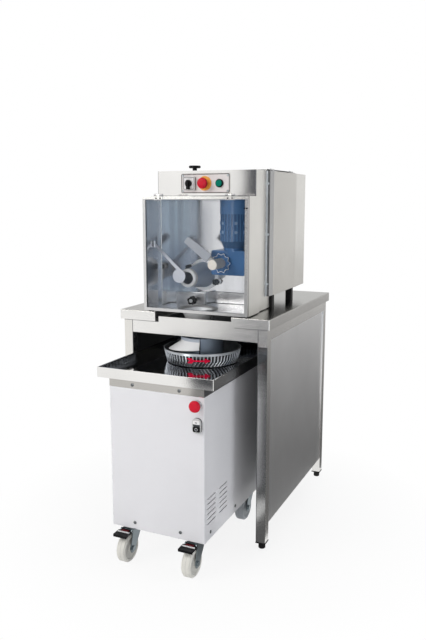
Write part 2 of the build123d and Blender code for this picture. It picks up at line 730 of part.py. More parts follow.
# Door: frame with a groove for the pane, hung on two hinges at its upper edge
hinge_y = depth(HINGE_R - HINGE_LEAF - DOOR_GAP)
hinge_z = GUARD_TOP + HINGE_R
hinge_x = (DIV_X - DOOR_HINGE_X, DIV_X + DOOR_HINGE_X)
knuckle = HINGE_W / 3 - SLIDE_GAP
door_z = (FLOOR_Z, FLOOR_Z + DOOR_H)
pane_x = around(DIV_X, DOOR_W / 2 - DOOR_BAR + PANE_GRIP)
pane_y = (depth((DOOR_T - PANE_T) / 2), depth((DOOR_T + PANE_T) / 2))
pane_z = (door_z[0] + DOOR_BAR - PANE_GRIP, door_z[1] - DOOR_BAR + PANE_GRIP)
with BuildPart() as door_frame:
    block((GUARD_L, GUARD_R), deep(0, DOOR_T), door_z)
    fillet(door_frame.edges().filter_by(Axis.Y), DOOR_CORNER)
    opening_z = (door_z[0] + DOOR_BAR, door_z[1] - DOOR_BAR)
    block(around(DIV_X, DOOR_W / 2 - DOOR_BAR), deep(0, DOOR_T), opening_z, Mode.SUBTRACT)
    groove = [(low - SEAT_GAP, high + SEAT_GAP) for low, high in (pane_x, pane_y, pane_z)]
    block(*groove, Mode.SUBTRACT)
    for x in hinge_x:
        leaf_y = deep(-HINGE_LEAF, 0)
        block(around(x, HINGE_W / 2), leaf_y, (door_z[1] - DOOR_LEAF_H, door_z[1]))
        block(around(x, knuckle / 2), leaf_y, (door_z[1], hinge_z))
        rod((x - knuckle / 2, hinge_y, hinge_z), TO_RIGHT, HINGE_R, knuckle)
        pin_bore = HINGE_PIN_R + SHAFT_GAP
        rod((x - knuckle / 2, hinge_y, hinge_z), TO_RIGHT, pin_bore, knuckle, Mode.SUBTRACT)
save(door_frame, "door_frame")

with BuildPart() as door_panel:
    block(pane_x, pane_y, pane_z)
save(door_panel, "door_panel")

# Fixed hinge leaves with their pins: two for the door, two for the lid
lid_hinge_x = BODY_R + SHEET
lid_hinge_z = BODY_TOP + HINGE_R + SLIDE_GAP
lid_hinge_y = (depth(LID_D + LID_HINGE_IN), depth(LID_D + LID_L - LID_HINGE_IN))
clear = HINGE_R + SLIDE_GAP
end_l = HINGE_W / 3
with BuildPart() as hinge_leaves:
    for x in hinge_x:
        leaf_z = (GUARD_TOP, GUARD_TOP + HINGE_LEAF)
        block(around(x, HINGE_W / 2), (hinge_y + clear, hinge_y + clear + HINGE_LEAF_L), leaf_z)
        for start in (x - HINGE_W / 2, x + HINGE_W / 2 - end_l):
            block((start, start + end_l), (hinge_y, hinge_y + clear), leaf_z)
            rod((start, hinge_y, hinge_z), TO_RIGHT, HINGE_R, end_l)
        rod((x - HINGE_W / 2, hinge_y, hinge_z), TO_RIGHT, HINGE_PIN_R, HINGE_W)
    for y in lid_hinge_y:
        leaf_z = (BODY_TOP, BODY_TOP + HINGE_LEAF)
        leaf_x = (lid_hinge_x + clear, BODY_R + COVER_T)
        block(leaf_x, around(y, HINGE_W / 2), leaf_z)
        for start in (y - HINGE_W / 2, y + HINGE_W / 2 - end_l):
            block((lid_hinge_x, lid_hinge_x + clear), (start, start + end_l), leaf_z)
            rod((lid_hinge_x, start, lid_hinge_z), TO_BACK, HINGE_R, end_l)
        rod((lid_hinge_x, y - HINGE_W / 2, lid_hinge_z), TO_BACK, HINGE_PIN_R, HINGE_W)
save(hinge_leaves, "hinge_leaves")

# Hopper lid with its knuckles, and the mushroom knob at its free edge
lid_z = BODY_TOP + HINGE_LEAF + SLIDE_GAP
with BuildPart() as hopper_lid:
    lid_right = lid_hinge_x - HINGE_R - SLIDE_GAP
    block((BODY_L, lid_right), deep(LID_D, LID_D + LID_L), (lid_z, lid_z + LID_T))
    fillet(hopper_lid.edges().filter_by(Axis.Z), BEND_R)
    for y in lid_hinge_y:
        block((lid_right - HINGE_LEAF_L, lid_hinge_x), around(y, knuckle / 2), (lid_z, lid_z + LID_T))
        rod((lid_hinge_x, y - knuckle / 2, lid_hinge_z), TO_BACK, HINGE_R, knuckle)
        pin_bore = HINGE_PIN_R + SHAFT_GAP
        rod((lid_hinge_x, y - knuckle / 2, lid_hinge_z), TO_BACK, pin_bore, knuckle, Mode.SUBTRACT)
save(hopper_lid, "hopper_lid")

with BuildPart() as lid_knob:
    knob_at = (BODY_L + LID_KNOB_IN, depth(LID_D + LID_L / 2), lid_z + LID_T)
    under = KNOB_H - KNOB_T
    knob = [
        (0, 0),
        (0, KNOB_FOOT_R),
        (under / 2, KNOB_STEM_R),
        (under, KNOB_STEM_R),
        (under, KNOB_R - KNOB_EDGE),
        (under + KNOB_EDGE, KNOB_R),
        (KNOB_H - KNOB_EDGE, KNOB_R),
        (KNOB_H, KNOB_R - KNOB_EDGE),
        (KNOB_H, 0),
    ]
    turned(knob, knob_at, UP)
save(lid_knob, "lid_knob")

# Hopper: tapered tub hanging by its rim, with the auger's barrel welded under its throat
barrel_out_r = BARREL_IN_R + BARREL_WALL
throat_z = nozzle[1]
with BuildPart() as hopper:
    with BuildSketch(Plane.XY.offset(BODY_TOP)):
        with Locations((hopper_x, hopper_y)):
            Rectangle(HOPPER_W, HOPPER_L)
    with BuildSketch(Plane.XY.offset(throat_z)):
        with Locations((nozzle[0], hopper_y)):
            Rectangle(THROAT_W + 2 * HOPPER_WALL, THROAT_L + 2 * HOPPER_WALL)
    loft(ruled=True)
    rim_z = (BODY_TOP, BODY_TOP + HOPPER_WALL)
    rim_x = around(hopper_x, HOPPER_W / 2 + HOPPER_RIM)
    block(rim_x, around(hopper_y, HOPPER_L / 2 + HOPPER_RIM), rim_z)
    rod((nozzle[0], depth(CHAMBER_D), nozzle[1]), TO_BACK, barrel_out_r, BARREL_END - CHAMBER_D)
    with BuildSketch(Plane.XY.offset(BODY_TOP)):
        with Locations((hopper_x, hopper_y)):
            Rectangle(HOPPER_W - 2 * HOPPER_WALL, HOPPER_L - 2 * HOPPER_WALL)
    with BuildSketch(Plane.XY.offset(throat_z)):
        with Locations((nozzle[0], hopper_y)):
            Rectangle(THROAT_W, THROAT_L)
    loft(mode=Mode.SUBTRACT, ruled=True)
    mouth_x = around(hopper_x, HOPPER_W / 2 - HOPPER_WALL)
    block(mouth_x, around(hopper_y, HOPPER_L / 2 - HOPPER_WALL), rim_z, Mode.SUBTRACT)
    barrel_l = BARREL_END - CHAMBER_D
    rod((nozzle[0], depth(CHAMBER_D), nozzle[1]), TO_BACK, BARREL_IN_R, barrel_l, Mode.SUBTRACT)
save(hopper, "hopper")

# Feed auger: shaft with a helical flight
drive_front = BARREL_END + DRIVE_BOX_GAP
with BuildPart() as feed_auger:
    auger_r = BARREL_IN_R - AUGER_GAP
    auger_l = BARREL_END - AUGER_START
    flight_l = auger_l - AUGER_PITCH / 2
    start = (nozzle[0], depth(AUGER_START + AUGER_FLIGHT_T), nozzle[1])
    shaft_l = drive_front + DRIVE_BOX / 2 - AUGER_START
    rod((nozzle[0], depth(AUGER_START), nozzle[1]), TO_BACK, AUGER_SHAFT_R, shaft_l)
    with BuildLine() as flight_path:
        Helix(AUGER_PITCH, flight_l, AUGER_SHAFT_R, center=start, direction=TO_BACK)
    helix_start = flight_path.line @ 0
    radial = (helix_start - Vector(*start)).normalized()
    flight_plane = Plane(origin=start, x_dir=radial, z_dir=radial.cross(Vector(*TO_BACK)))
    with BuildSketch(flight_plane) as flight_section:
        root = AUGER_SHAFT_R - AUGER_BITE
        with Locations(((root + auger_r) / 2, 0)):
            Rectangle(auger_r - root, AUGER_FLIGHT_T)
    sweep(flight_section.sketch, path=flight_path.line, is_frenet=True)
save(feed_auger, "feed_auger")

# Auger drive: gearbox on a foot in the rear housing, with its motor lying across
with BuildPart() as auger_gearmotor:
    box_y = deep(drive_front, drive_front + DRIVE_BOX)
    box_z = around(nozzle[1], DRIVE_BOX / 2)
    block(around(nozzle[0], DRIVE_BOX / 2), box_y, box_z)
    fillet(auger_gearmotor.edges().filter_by(Axis.Y), GEAR_CORNER)
    block(around(nozzle[0], DRIVE_BOX / 3), box_y, (BODY_Z + SHEET, nozzle[1]))
    motor_at = (nozzle[0] + DRIVE_BOX / 2, (box_y[0] + box_y[1]) / 2, nozzle[1])
    rod(motor_at, TO_RIGHT, DRIVE_NECK_R, DRIVE_MOTOR_L)
    motor_at = (nozzle[0] + DRIVE_BOX / 2 + GEAR_CORNER, motor_at[1], nozzle[1])
    rod(motor_at, TO_RIGHT, DRIVE_MOTOR_R, DRIVE_MOTOR_L)
    bore = AUGER_SHAFT_R + SHAFT_GAP
    rod((nozzle[0], box_y[0], nozzle[1]), TO_BACK, bore, DRIVE_BOX / 2 + SHEET, Mode.SUBTRACT)
save(auger_gearmotor, "auger_gearmotor")

# Nozzle cone with its eared flange, outlet ring and clamp knobs
cone_l = WALL_FRONT - FLANGE_T - OUTLET_D - OUTLET_L
ear_front = depth(WALL_FRONT - FLANGE_T)
ears = []
for turn in (EAR_ANGLE, EAR_ANGLE + 180):
    reach = FLANGE_R + EAR_R / 6
    ears.append((nozzle[0] + reach * cos(radians(turn)), nozzle[1] + reach * sin(radians(turn))))
with BuildPart() as nozzle_cone:
    base = (nozzle[0], depth(WALL_FRONT), nozzle[1])
    cone = [
        (0, BARREL_IN_R),
        (0, FLANGE_R),
        (FLANGE_T, FLANGE_R),
        (FLANGE_T, CONE_BACK_R),
        (FLANGE_T + cone_l, CONE_FRONT_R),
        (FLANGE_T + cone_l, SPOUT_R - SEAT_GAP),
        (FLANGE_T + cone_l + SPOUT_L - SEAT_GAP, SPOUT_R - SEAT_GAP),
        (FLANGE_T + cone_l + SPOUT_L - SEAT_GAP, OUTLET_BORE_R),
    ]
    turned(cone, base, TO_FRONT)
    for ear in ears:
        rod((ear[0], base[1], ear[1]), TO_FRONT, EAR_R, FLANGE_T)
        rod((ear[0], base[1], ear[1]), TO_FRONT, CLAMP_STEM_R + SHAFT_GAP, FLANGE_T, Mode.SUBTRACT)
    bore = [(0, 0), (0, BARREL_IN_R), (FLANGE_T + cone_l + SPOUT_L, OUTLET_BORE_R)]
    bore.append((FLANGE_T + cone_l + SPOUT_L, 0))
    turned(bore, base, TO_FRONT, Mode.SUBTRACT)
save(nozzle_cone, "nozzle_cone")

with BuildPart() as outlet_ring:
    ring = [
        (0, OUTLET_BORE_R),
        (0, OUTLET_R - BEND_R),
        (BEND_R, OUTLET_R),
        (OUTLET_L - SEAT_GAP, OUTLET_R),
        (OUTLET_L - SEAT_GAP, SPOUT_R),
        (OUTLET_LIP, SPOUT_R),
        (OUTLET_LIP, OUTLET_BORE_R),
    ]
    turned(ring, (nozzle[0], depth(OUTLET_D), nozzle[1]), TO_BACK)
save(outlet_ring, "outlet_ring")

for side, ear in zip(("right", "left"), ears):
    with BuildPart() as nozzle_knob:
        knob_at = (ear[0], ear_front - SLIDE_GAP, ear[1])
        knob_plane = Plane(origin=knob_at, x_dir=TO_RIGHT, z_dir=TO_FRONT)
        scalloped(knob_plane, CLAMP_KNOB_R, STAR_LOBES, CLAMP_KNOB_R / 3, CLAMP_KNOB_L)
        rod(knob_at, TO_BACK, CLAMP_STEM_R, FLANGE_T)
    save(nozzle_knob, f"nozzle_knob_{side}")

# Knife drive: worm gearbox on the chamber's wall, with a scalloped flange and an upright motor
knife = (DIV_X + KNIFE_X, GUARD_TOP - KNIFE_DROP)
motor_x = knife[0] + MOTOR_X
motor_y = depth(WALL_FRONT - MOTOR_COWL_R - SHEET)
motor_z = knife[1] + GEAR_UP
shaft_bore = HUB_SHAFT_R + SHAFT_GAP
with BuildPart() as knife_gearbox:
    gear_x = (knife[0] - GEAR_LEFT, knife[0] + GEAR_RIGHT)
    gear_z = (knife[1] - GEAR_DOWN, motor_z)
    block(gear_x, deep(GEAR_FRONT, WALL_FRONT), gear_z)
    fillet(knife_gearbox.edges().filter_by(Axis.Y), GEAR_CORNER)
    fillet(knife_gearbox.faces().sort_by(Axis.Y)[0].edges(), BEND_R)
    lobe_plane = Plane(origin=(knife[0], depth(GEAR_FRONT), knife[1]), x_dir=(1, 0, 0), z_dir=TO_FRONT)
    scalloped(lobe_plane, LOBE_R, LOBES, LOBE_NOTCH_R, LOBE_T)
    rod((motor_x, motor_y, motor_z - GEAR_CORNER), UP, MOTOR_NECK_R, GEAR_CORNER + MOTOR_NECK_H)
    flange_l = LOBE_T + HUB_SHAFT_IN
    rod((knife[0], depth(GEAR_FRONT - LOBE_T), knife[1]), TO_BACK, shaft_bore, flange_l, Mode.SUBTRACT)
save(knife_gearbox, "knife_gearbox")

with BuildPart() as knife_motor:
    motor_base = motor_z + MOTOR_NECK_H
    motor_top = GUARD_TOP - SHEET - MOTOR_TOP_GAP
    cowl_z = motor_top - MOTOR_COWL_L
    motor = [
        (0, 0),
        (0, MOTOR_NECK_R),
        (MOTOR_BELL_H, MOTOR_R),
        (cowl_z - motor_base, MOTOR_R),
        (cowl_z - motor_base, MOTOR_COWL_R),
        (motor_top - motor_base - BEND_R, MOTOR_COWL_R),
        (motor_top - motor_base, MOTOR_COWL_R - BEND_R),
        (motor_top - motor_base, 0),
    ]
    turned(motor, (motor_x, motor_y, motor_base), UP)
    fin_z = (motor_base + MOTOR_BELL_H, cowl_z)
    fin_plane = Plane(origin=(motor_x, motor_y, (fin_z[0] + fin_z[1]) / 2))
    with Locations(fin_plane):
        with PolarLocations(MOTOR_R, MOTOR_FINS):
            Box(2 * MOTOR_FIN_H, MOTOR_FIN_W, fin_z[1] - fin_z[0])
    boss_rise = (fin_z[1] - fin_z[0]) / 3
    for angle in MOTOR_BOSS_ANGLES:
        boss_dir = (cos(radians(angle)), sin(radians(angle)), 0)
        for boss_z in (fin_z[0] + boss_rise, fin_z[0] + 2 * boss_rise):
            boss_plane = Plane(origin=(motor_x, motor_y, boss_z), x_dir=(0, 0, 1), z_dir=boss_dir)
            with Locations(boss_plane):
                boss_l = MOTOR_COWL_R - SEAT_GAP
                Box(MOTOR_BOSS, MOTOR_BOSS, boss_l, align=(Align.CENTER, Align.CENTER, Align.MIN))
save(knife_motor, "knife_motor")

# Knife: hub with its arm, and the blade that passes just in front of the outlet ring
blade_back = OUTLET_D - BLADE_GAP
along = (cos(radians(BLADE_ANGLE)), 0, sin(radians(BLADE_ANGLE)))
blade_plane = Plane(origin=(knife[0], depth(blade_back), knife[1]), x_dir=along, z_dir=TO_FRONT)
blade_tip = DOOR_W / 2 - KNIFE_X - BLADE_WALL_GAP
with BuildPart() as knife_hub:
    hub_back = GEAR_FRONT - LOBE_T - SLIDE_GAP
    rod((knife[0], depth(hub_back), knife[1]), TO_FRONT, HUB_R, hub_back - HUB_FRONT)
    chamfer(knife_hub.faces().sort_by(Axis.Y)[0].edges(), SHEET / 2)
    shaft_l = GEAR_FRONT - hub_back + HUB_SHAFT_IN - SHEET
    rod((knife[0], depth(hub_back), knife[1]), TO_BACK, HUB_SHAFT_R, shaft_l)
    with BuildSketch(blade_plane):
        with Locations((ARM_L / 2, 0)):
            RectangleRounded(ARM_L, ARM_W, BEND_R)
    extrude(amount=-ARM_T)
save(knife_hub, "knife_hub")

with BuildPart() as knife_blade:
    root, tip = BLADE_W / 2, BLADE_TIP_W / 2
    blade = [(BLADE_START, -root), (blade_tip, -tip), (blade_tip, tip), (BLADE_START, root)]
    with BuildSketch(blade_plane) as blade_outline:
        with BuildLine():
            Polyline(*blade, close=True)
        make_face()
        fillet(blade_outline.vertices(), BEND_R)
    extrude(amount=BLADE_T)
save(knife_blade, "knife_blade")

# Dough paddle: disc on a slanting flat bar, with a sleeve on the pivot pin
disc = (DIV_X + PADDLE_X, FLOOR_Z + PADDLE_RISE)
with BuildPart() as sensor_paddle:
    paddle_y = pivot[1]
    rod((disc[0], paddle_y + PADDLE_T / 2, disc[1]), TO_FRONT, PADDLE_R, PADDLE_T)
    bar_end = (disc[0] + PADDLE_BAR_END[0], disc[1] + PADDLE_BAR_END[1])
    run = (pivot[0] - bar_end[0], 0, pivot[2] - bar_end[1])
    bar_l = hypot(run[0], run[2])
    bar = [(0, -PADDLE_BAR_W / 2), (bar_l, -PADDLE_BAR_TOP_W / 2)]
    bar += [(bar_l, PADDLE_BAR_TOP_W / 2), (0, PADDLE_BAR_W / 2)]
    bar_back = (bar_end[0], paddle_y + PADDLE_T / 2, bar_end[1])
    prism(bar, Plane(origin=bar_back, x_dir=run, z_dir=TO_FRONT), PADDLE_T)
    sleeve_z = pivot[2] - PIVOT_SLEEVE_L / 2
    rod((pivot[0], pivot[1], sleeve_z), UP, PIVOT_SLEEVE_R, PIVOT_SLEEVE_L)
    bore = PIVOT_R + SHAFT_GAP
    rod((pivot[0], pivot[1], sleeve_z), UP, bore, PIVOT_SLEEVE_L, Mode.SUBTRACT)
save(sensor_paddle, "sensor_paddle")

# Hatch plate on the step, and the star knob that clamps it
star = (DIV_X + STAR_X, FLOOR_Z + STAR_RISE)
with BuildPart() as hatch_plate:
    hatch_y = deep(STEP_FRONT - HATCH_T, STEP_FRONT)
    hatch_z = (FLOOR_TOP + SEAT_GAP, FLOOR_TOP + HATCH_H)
    block(around(DIV_X + HATCH_X, HATCH_W / 2), hatch_y, hatch_z)
    fillet(hatch_plate.edges().filter_by(Axis.Y), BEND_R)
    stem_bore = STAR_STEM_R + SHAFT_GAP
    rod((star[0], hatch_y[1], star[1]), TO_FRONT, stem_bore, HATCH_T, Mode.SUBTRACT)
save(hatch_plate, "hatch_plate")

with BuildPart() as star_knob:
    knob_back = STAR_FRONT + STAR_T
    star_plane = Plane(origin=(star[0], depth(knob_back), star[1]), x_dir=(0, 0, 1), z_dir=TO_FRONT)
    scalloped(star_plane, STAR_R, STAR_LOBES, STAR_NOTCH_R, STAR_T)
    rod((star[0], depth(STAR_FRONT), star[1]), TO_FRONT, STAR_CAP_R, SHEET)
    stem_l = STEP_FRONT - SHEET / 2 - knob_back
    rod((star[0], depth(knob_back), star[1]), TO_BACK, STAR_STEM_R, stem_l)
save(star_knob, "star_knob")

# Drop funnel: flange on the chamber's floor, cone and tube down through the table
with BuildPart() as drop_funnel:
    cone_z = FLOOR_TOP - FUNNEL_CONE_H
    tube_z = APRON_Z + FUNNEL_END_GAP
    top_z = FLOOR_TOP + FUNNEL_FLANGE_T
    inner_top = FUNNEL_TOP_R - FUNNEL_WALL
    profile = [
        (tube_z, FUNNEL_R - FUNNEL_WALL),
        (tube_z, FUNNEL_R),
        (cone_z, FUNNEL_R),
        (FLOOR_Z - SEAT_GAP, FUNNEL_TOP_R - FUNNEL_WALL / 2),
        (FLOOR_TOP, FUNNEL_TOP_R),
        (FLOOR_TOP, FUNNEL_FLANGE_R),
        (top_z - SHEET / 2, FUNNEL_FLANGE_R),
        (top_z, FUNNEL_FLANGE_R - SHEET / 2),
        (top_z, inner_top),
        (cone_z, FUNNEL_R - FUNNEL_WALL),
    ]
    turned(profile, (*funnel, 0), UP)
save(drop_funnel, "drop_funnel")

# Screws of the side cover's front flange and of the control plate
with BuildPart() as housing_screws:
    cover_screw_x = BODY_R + (COVER_T - COVER_EDGE_DROP) / 2
    cover_screw_z = (BODY_Z + COVER_SCREW_END, (BODY_Z + BODY_TOP) / 2, BODY_TOP - COVER_SCREW_END)
    for z in cover_screw_z:
        screw_head((cover_screw_x, depth(COVER_D), z), TO_FRONT)
    for x in around(DIV_X, PLATE_W / 2 - PLATE_CORNER - SCREW_R / 2):
        for z in around(control_z, PLATE_H / 2 - PLATE_CORNER - SCREW_R / 2):
            screw_head((x, plate_front, z), TO_FRONT)
save(housing_screws, "housing_screws")

# Cart cabinet: four walls with vent slits, holes for the controls and two small notches at the lower edge
cabinet_x = around(CART_X, CABINET_HALF)
cabinet_y = deep(-CART_REACH, CABINET_BACK)
cabinet_z = (CASTOR_H, CABINET_TOP)
stop_at = (cabinet_x[1] - CART_STOP_EDGE, cabinet_y[0], CABINET_TOP - CART_STOP_DROP)
twin_at = (cabinet_x[1] - CART_STOP_EDGE, cabinet_y[0], CABINET_TOP - TWIN_DROP)
twin_z = (twin_at[2] + TWIN_PITCH / 2, twin_at[2] - TWIN_PITCH / 2)
wall = CABINET_SHEET
with BuildPart() as cabinet_shell:
    block(cabinet_x, cabinet_y, cabinet_z)
    fillet(cabinet_shell.edges().filter_by(Axis.Z), CABINET_CORNER)
    inner = ((cabinet_x[0] + wall, cabinet_x[1] - wall), (cabinet_y[0] + wall, cabinet_y[1] - wall))
    block(*inner, cabinet_z, Mode.SUBTRACT)
    for start in VENT_D:
        for row in range(VENT_ROWS):
            slit_z = CASTOR_H + VENT_Z + row * VENT_PITCH
            slit_y = (cabinet_y[0] + start, cabinet_y[0] + start + VENT_L)
            block((cabinet_x[1] - wall, cabinet_x[1]), slit_y, (slit_z, slit_z + VENT_H), Mode.SUBTRACT)
    for x in around(CART_X, CART_SCREW_X):
        rod((x, cabinet_y[0], CASTOR_H), TO_BACK, EDGE_NOTCH_R, wall, Mode.SUBTRACT)
    rod(stop_at, TO_BACK, BARREL_R + SEAT_GAP, wall, Mode.SUBTRACT)
    for z in twin_z:
        rod((twin_at[0], twin_at[1], z), TO_BACK, TWIN_STEM_R + SEAT_GAP, wall, Mode.SUBTRACT)
save(cabinet_shell, "cabinet_shell")

# Cart base: pan inside the cabinet's lower edge, drilled for the king bolts
castor_x = around(CART_X, CABINET_HALF - CASTOR_INSET_X)
castor_y = (cabinet_y[0] + CASTOR_INSET_D, cabinet_y[1] - CASTOR_INSET_D)
with BuildPart() as cart_base:
    base_x = (inner[0][0] + SEAT_GAP, inner[0][1] - SEAT_GAP)
    base_y = (inner[1][0] + SEAT_GAP, inner[1][1] - SEAT_GAP)
    block(base_x, base_y, (CASTOR_H, CASTOR_H + BASE_EDGE_H))
    pan_x = (base_x[0] + BASE_T, base_x[1] - BASE_T)
    pan_y = (base_y[0] + BASE_T, base_y[1] - BASE_T)
    block(pan_x, pan_y, (CASTOR_H + BASE_T, CASTOR_H + BASE_EDGE_H), Mode.SUBTRACT)
    for x in castor_x:
        for y in castor_y:
            rod((x, y, CASTOR_H), UP, KING_R + SEAT_GAP, BASE_T, Mode.SUBTRACT)
save(cart_base, "cart_base")

# Catch tray with a hole for the bowl's shaft, and its welded skirt band on the cabinet
bowl_at = (CART_X + BOWL_X, depth(BOWL_D))
tray_x = around(CART_X, TRAY_HALF)
tray_y = (cabinet_y[0] - TRAY_END, cabinet_y[1] + TRAY_END)
with BuildPart() as tray:
    block(tray_x, tray_y, (TRAY_Z, TRAY_RIM))
    fillet(tray.edges().filter_by(Axis.Z), BEND_R)
    inside_x = (tray_x[0] + TRAY_WALL, tray_x[1] - TRAY_WALL)
    inside_y = (tray_y[0] + TRAY_WALL, tray_y[1] - TRAY_WALL)
    block(inside_x, inside_y, (TRAY_FLOOR, TRAY_RIM), Mode.SUBTRACT)
    rod((*bowl_at, TRAY_Z), UP, SHAFT_HOLE_R, TRAY_FLOOR_T, Mode.SUBTRACT)
    band_z = (CABINET_TOP, TRAY_Z)
    band_x = (cabinet_x[0] + BAND_T, cabinet_x[1] - BAND_T)
    band_y = (cabinet_y[0] + BAND_T, cabinet_y[1] - BAND_T)
    block(cabinet_x, cabinet_y, band_z)
    block(band_x, band_y, band_z, Mode.SUBTRACT)
save(tray, "tray")

# Bowl drive: gearbox under the tray with its motor lying towards the front
with BuildPart() as bowl_gearmotor:
    box_z = (TRAY_Z - BOWL_BOX_H, TRAY_Z)
    block(around(bowl_at[0], BOWL_BOX / 2), around(bowl_at[1], BOWL_BOX / 2), box_z)
    fillet(bowl_gearmotor.edges().filter_by(Axis.Z), GEAR_CORNER)
    motor_mid = (box_z[0] + box_z[1]) / 2
    rod((bowl_at[0], bowl_at[1], motor_mid), TO_FRONT, BOWL_MOTOR_R, BOWL_BOX / 2 + BOWL_MOTOR_L)
    bore_l = BOWL_SHAFT_L + SHEET
    rod((*bowl_at, TRAY_Z), DOWN, BOWL_SHAFT_R + SHAFT_GAP, bore_l, Mode.SUBTRACT)
save(bowl_gearmotor, "bowl_gearmotor")

# Bowl: fluted wall, floor, hub and drive shaft
bowl_z = TRAY_FLOOR + BOWL_LIFT
with BuildPart() as bowl:
    slope = BOWL_R - BOWL_FOOT_R
    wall_top = BOWL_H - BOWL_LIFT
    inner_foot = BOWL_FOOT_R - BOWL_WALL
    section = [
        (0, 0),
        (0, BOWL_FOOT_R),
        (wall_top, BOWL_R),
        (wall_top, BOWL_R - BOWL_WALL),
        (BOWL_FLOOR_T, inner_foot),
        (BOWL_FLOOR_T, BOWL_HUB_R),
        (BOWL_HUB_H, BOWL_HUB_R),
        (BOWL_HUB_H, 0),
    ]
    turned(section, (*bowl_at, bowl_z), UP)
    flare = degrees(atan2(slope, wall_top))
    upper = (FLUTE_KNEE, wall_top - BOWL_RIM_H, 0)
    lower = (-FLUTE_R, FLUTE_KNEE, FLUTE_TILT)
    for low, high, tilt in (upper, lower):
        middle = (low + high) / 2
        shift = (middle - FLUTE_KNEE) * tan(radians(tilt))
        flute_l = (high - low) / cos(radians(tilt)) + FLUTE_CUT
        centre_r = BOWL_FOOT_R + slope * middle / wall_top + FLUTE_R - FLUTE_CUT
        with Locations(Plane(origin=(*bowl_at, bowl_z + middle))):
            with PolarLocations(centre_r, FLUTES):
                with Locations(Location((0, shift, 0), (-tilt, flare, 0))):
                    Cylinder(FLUTE_R, flute_l, mode=Mode.SUBTRACT)
    rod((*bowl_at, bowl_z), DOWN, BOWL_SHAFT_R, BOWL_LIFT + TRAY_FLOOR_T + BOWL_SHAFT_L)
save(bowl, "bowl")

# Rounding drum: fixed tube in the bowl, carried by an arm and a post behind the bowl
with BuildPart() as rounding_drum:
    drum_z = TRAY_FLOOR + DRUM_LIFT
    arm_z = (TRAY_FLOOR + BOWL_H + BOWL_LIFT, TRAY_FLOOR + BOWL_H + BOWL_LIFT + DRUM_ARM_T)
    post_y = (inside_y[1] - DRUM_POST_GAP - DRUM_POST_T, inside_y[1] - DRUM_POST_GAP)
    arm_x = around(bowl_at[0], DRUM_ARM_W / 2)
    rod((*bowl_at, drum_z), UP, DRUM_R, DRUM_TOP - drum_z)
    block(arm_x, (bowl_at[1], post_y[1]), arm_z)
    block(arm_x, post_y, (TRAY_FLOOR, arm_z[1]))
    block(arm_x, (post_y[1] - DRUM_FOOT_L, post_y[1]), (TRAY_FLOOR, TRAY_FLOOR + DRUM_WALL))
    rod((*bowl_at, drum_z), UP, DRUM_R - DRUM_WALL, DRUM_TOP - drum_z, Mode.SUBTRACT)
save(rounding_drum, "rounding_drum")

# Deflector: sheet clamped round the drum's front and left, with a flare that widens and drops to the left
with BuildPart() as deflector:
    neck_r = DRUM_R + SEAT_GAP
    for step in range(GUIDE_SECTIONS):
        share = step / (GUIDE_SECTIONS - 1)
        ends = (GUIDE_R, GUIDE_NECK_H, GUIDE_H)
        edge_r, crease, edge = (first + share * (last - first) for first, last in ends)
        turn = radians(GUIDE_START - share * GUIDE_ARC)
        outward = (cos(turn), sin(turn), 0)
        guide = [
            (neck_r, DRUM_TOP),
            (neck_r + GUIDE_T, DRUM_TOP),
            (neck_r + GUIDE_T, DRUM_TOP - crease),
            (edge_r, DRUM_TOP - edge),
            (edge_r - GUIDE_T, DRUM_TOP - edge - GUIDE_T / 2),
            (neck_r, DRUM_TOP - crease - GUIDE_T),
        ]
        with BuildSketch(Plane(origin=(*bowl_at, 0), x_dir=outward, z_dir=(sin(turn), -cos(turn), 0))):
            with BuildLine():
                Polyline(*guide, close=True)
            make_face()
    loft()
save(deflector, "deflector")

# Cart controls: emergency stop and twin push buttons on the cabinet's front
with BuildPart() as cart_estop_collar:
    stop_collar(*stop_at, False)
save(cart_estop_collar, "cart_estop_collar")

with BuildPart() as cart_estop_head:
    stop_head(*stop_at)
save(cart_estop_head, "cart_estop_head")

twin_front = twin_at[1] - TWIN_T
with BuildPart() as cart_button_housing:
    rounded_plate(twin_at, TWIN_W, TWIN_H, TWIN_W / 2 - SHEET, TWIN_T)
    chamfer(cart_button_housing.faces().sort_by(Axis.Y)[0].edges(), SHEET / 2)
    recess = BUTTON_TRAVEL + SHEET
    for z in twin_z:
        well = (twin_at[0], twin_front + recess, z)
        gap = 2 * SLIDE_GAP
        well_w = TWIN_BUTTON_W + gap
        well_h = TWIN_BUTTON_H + gap
        rounded_plate(well, well_w, well_h, BEND_R + SLIDE_GAP, recess, Mode.SUBTRACT)
        rod((twin_at[0], twin_at[1], z), TO_BACK, TWIN_STEM_R, SHEET)
        bore = TWIN_STEM_R / 2 + SHAFT_GAP
        rod((twin_at[0], twin_front, z), TO_BACK, bore, TWIN_T + SHEET, Mode.SUBTRACT)
save(cart_button_housing, "cart_button_housing")

for name, z in (("cart_start_button", twin_z[0]), ("cart_stop_button", twin_z[1])):
    with BuildPart() as cart_button:
        cap_back = (twin_at[0], twin_front + recess - BUTTON_TRAVEL - SLIDE_GAP, z)
        rounded_plate(cap_back, TWIN_BUTTON_W, TWIN_BUTTON_H, BEND_R, SHEET + BUTTON_TRAVEL)
        rod(cap_back, TO_BACK, TWIN_STEM_R / 2, TWIN_T - recess + BUTTON_TRAVEL)
    save(cart_button, name)

# Castors: swivel fork with its axle, wheel, and a brake pedal on the front ones
wheel_gap = WHEEL_W / 2 + FORK_GAP
head_top = CASTOR_H - SLIDE_GAP
crown_z = head_top - HEAD_T - CROWN_T
pedal_z = head_top - HEAD_T - CROWN_T / 2


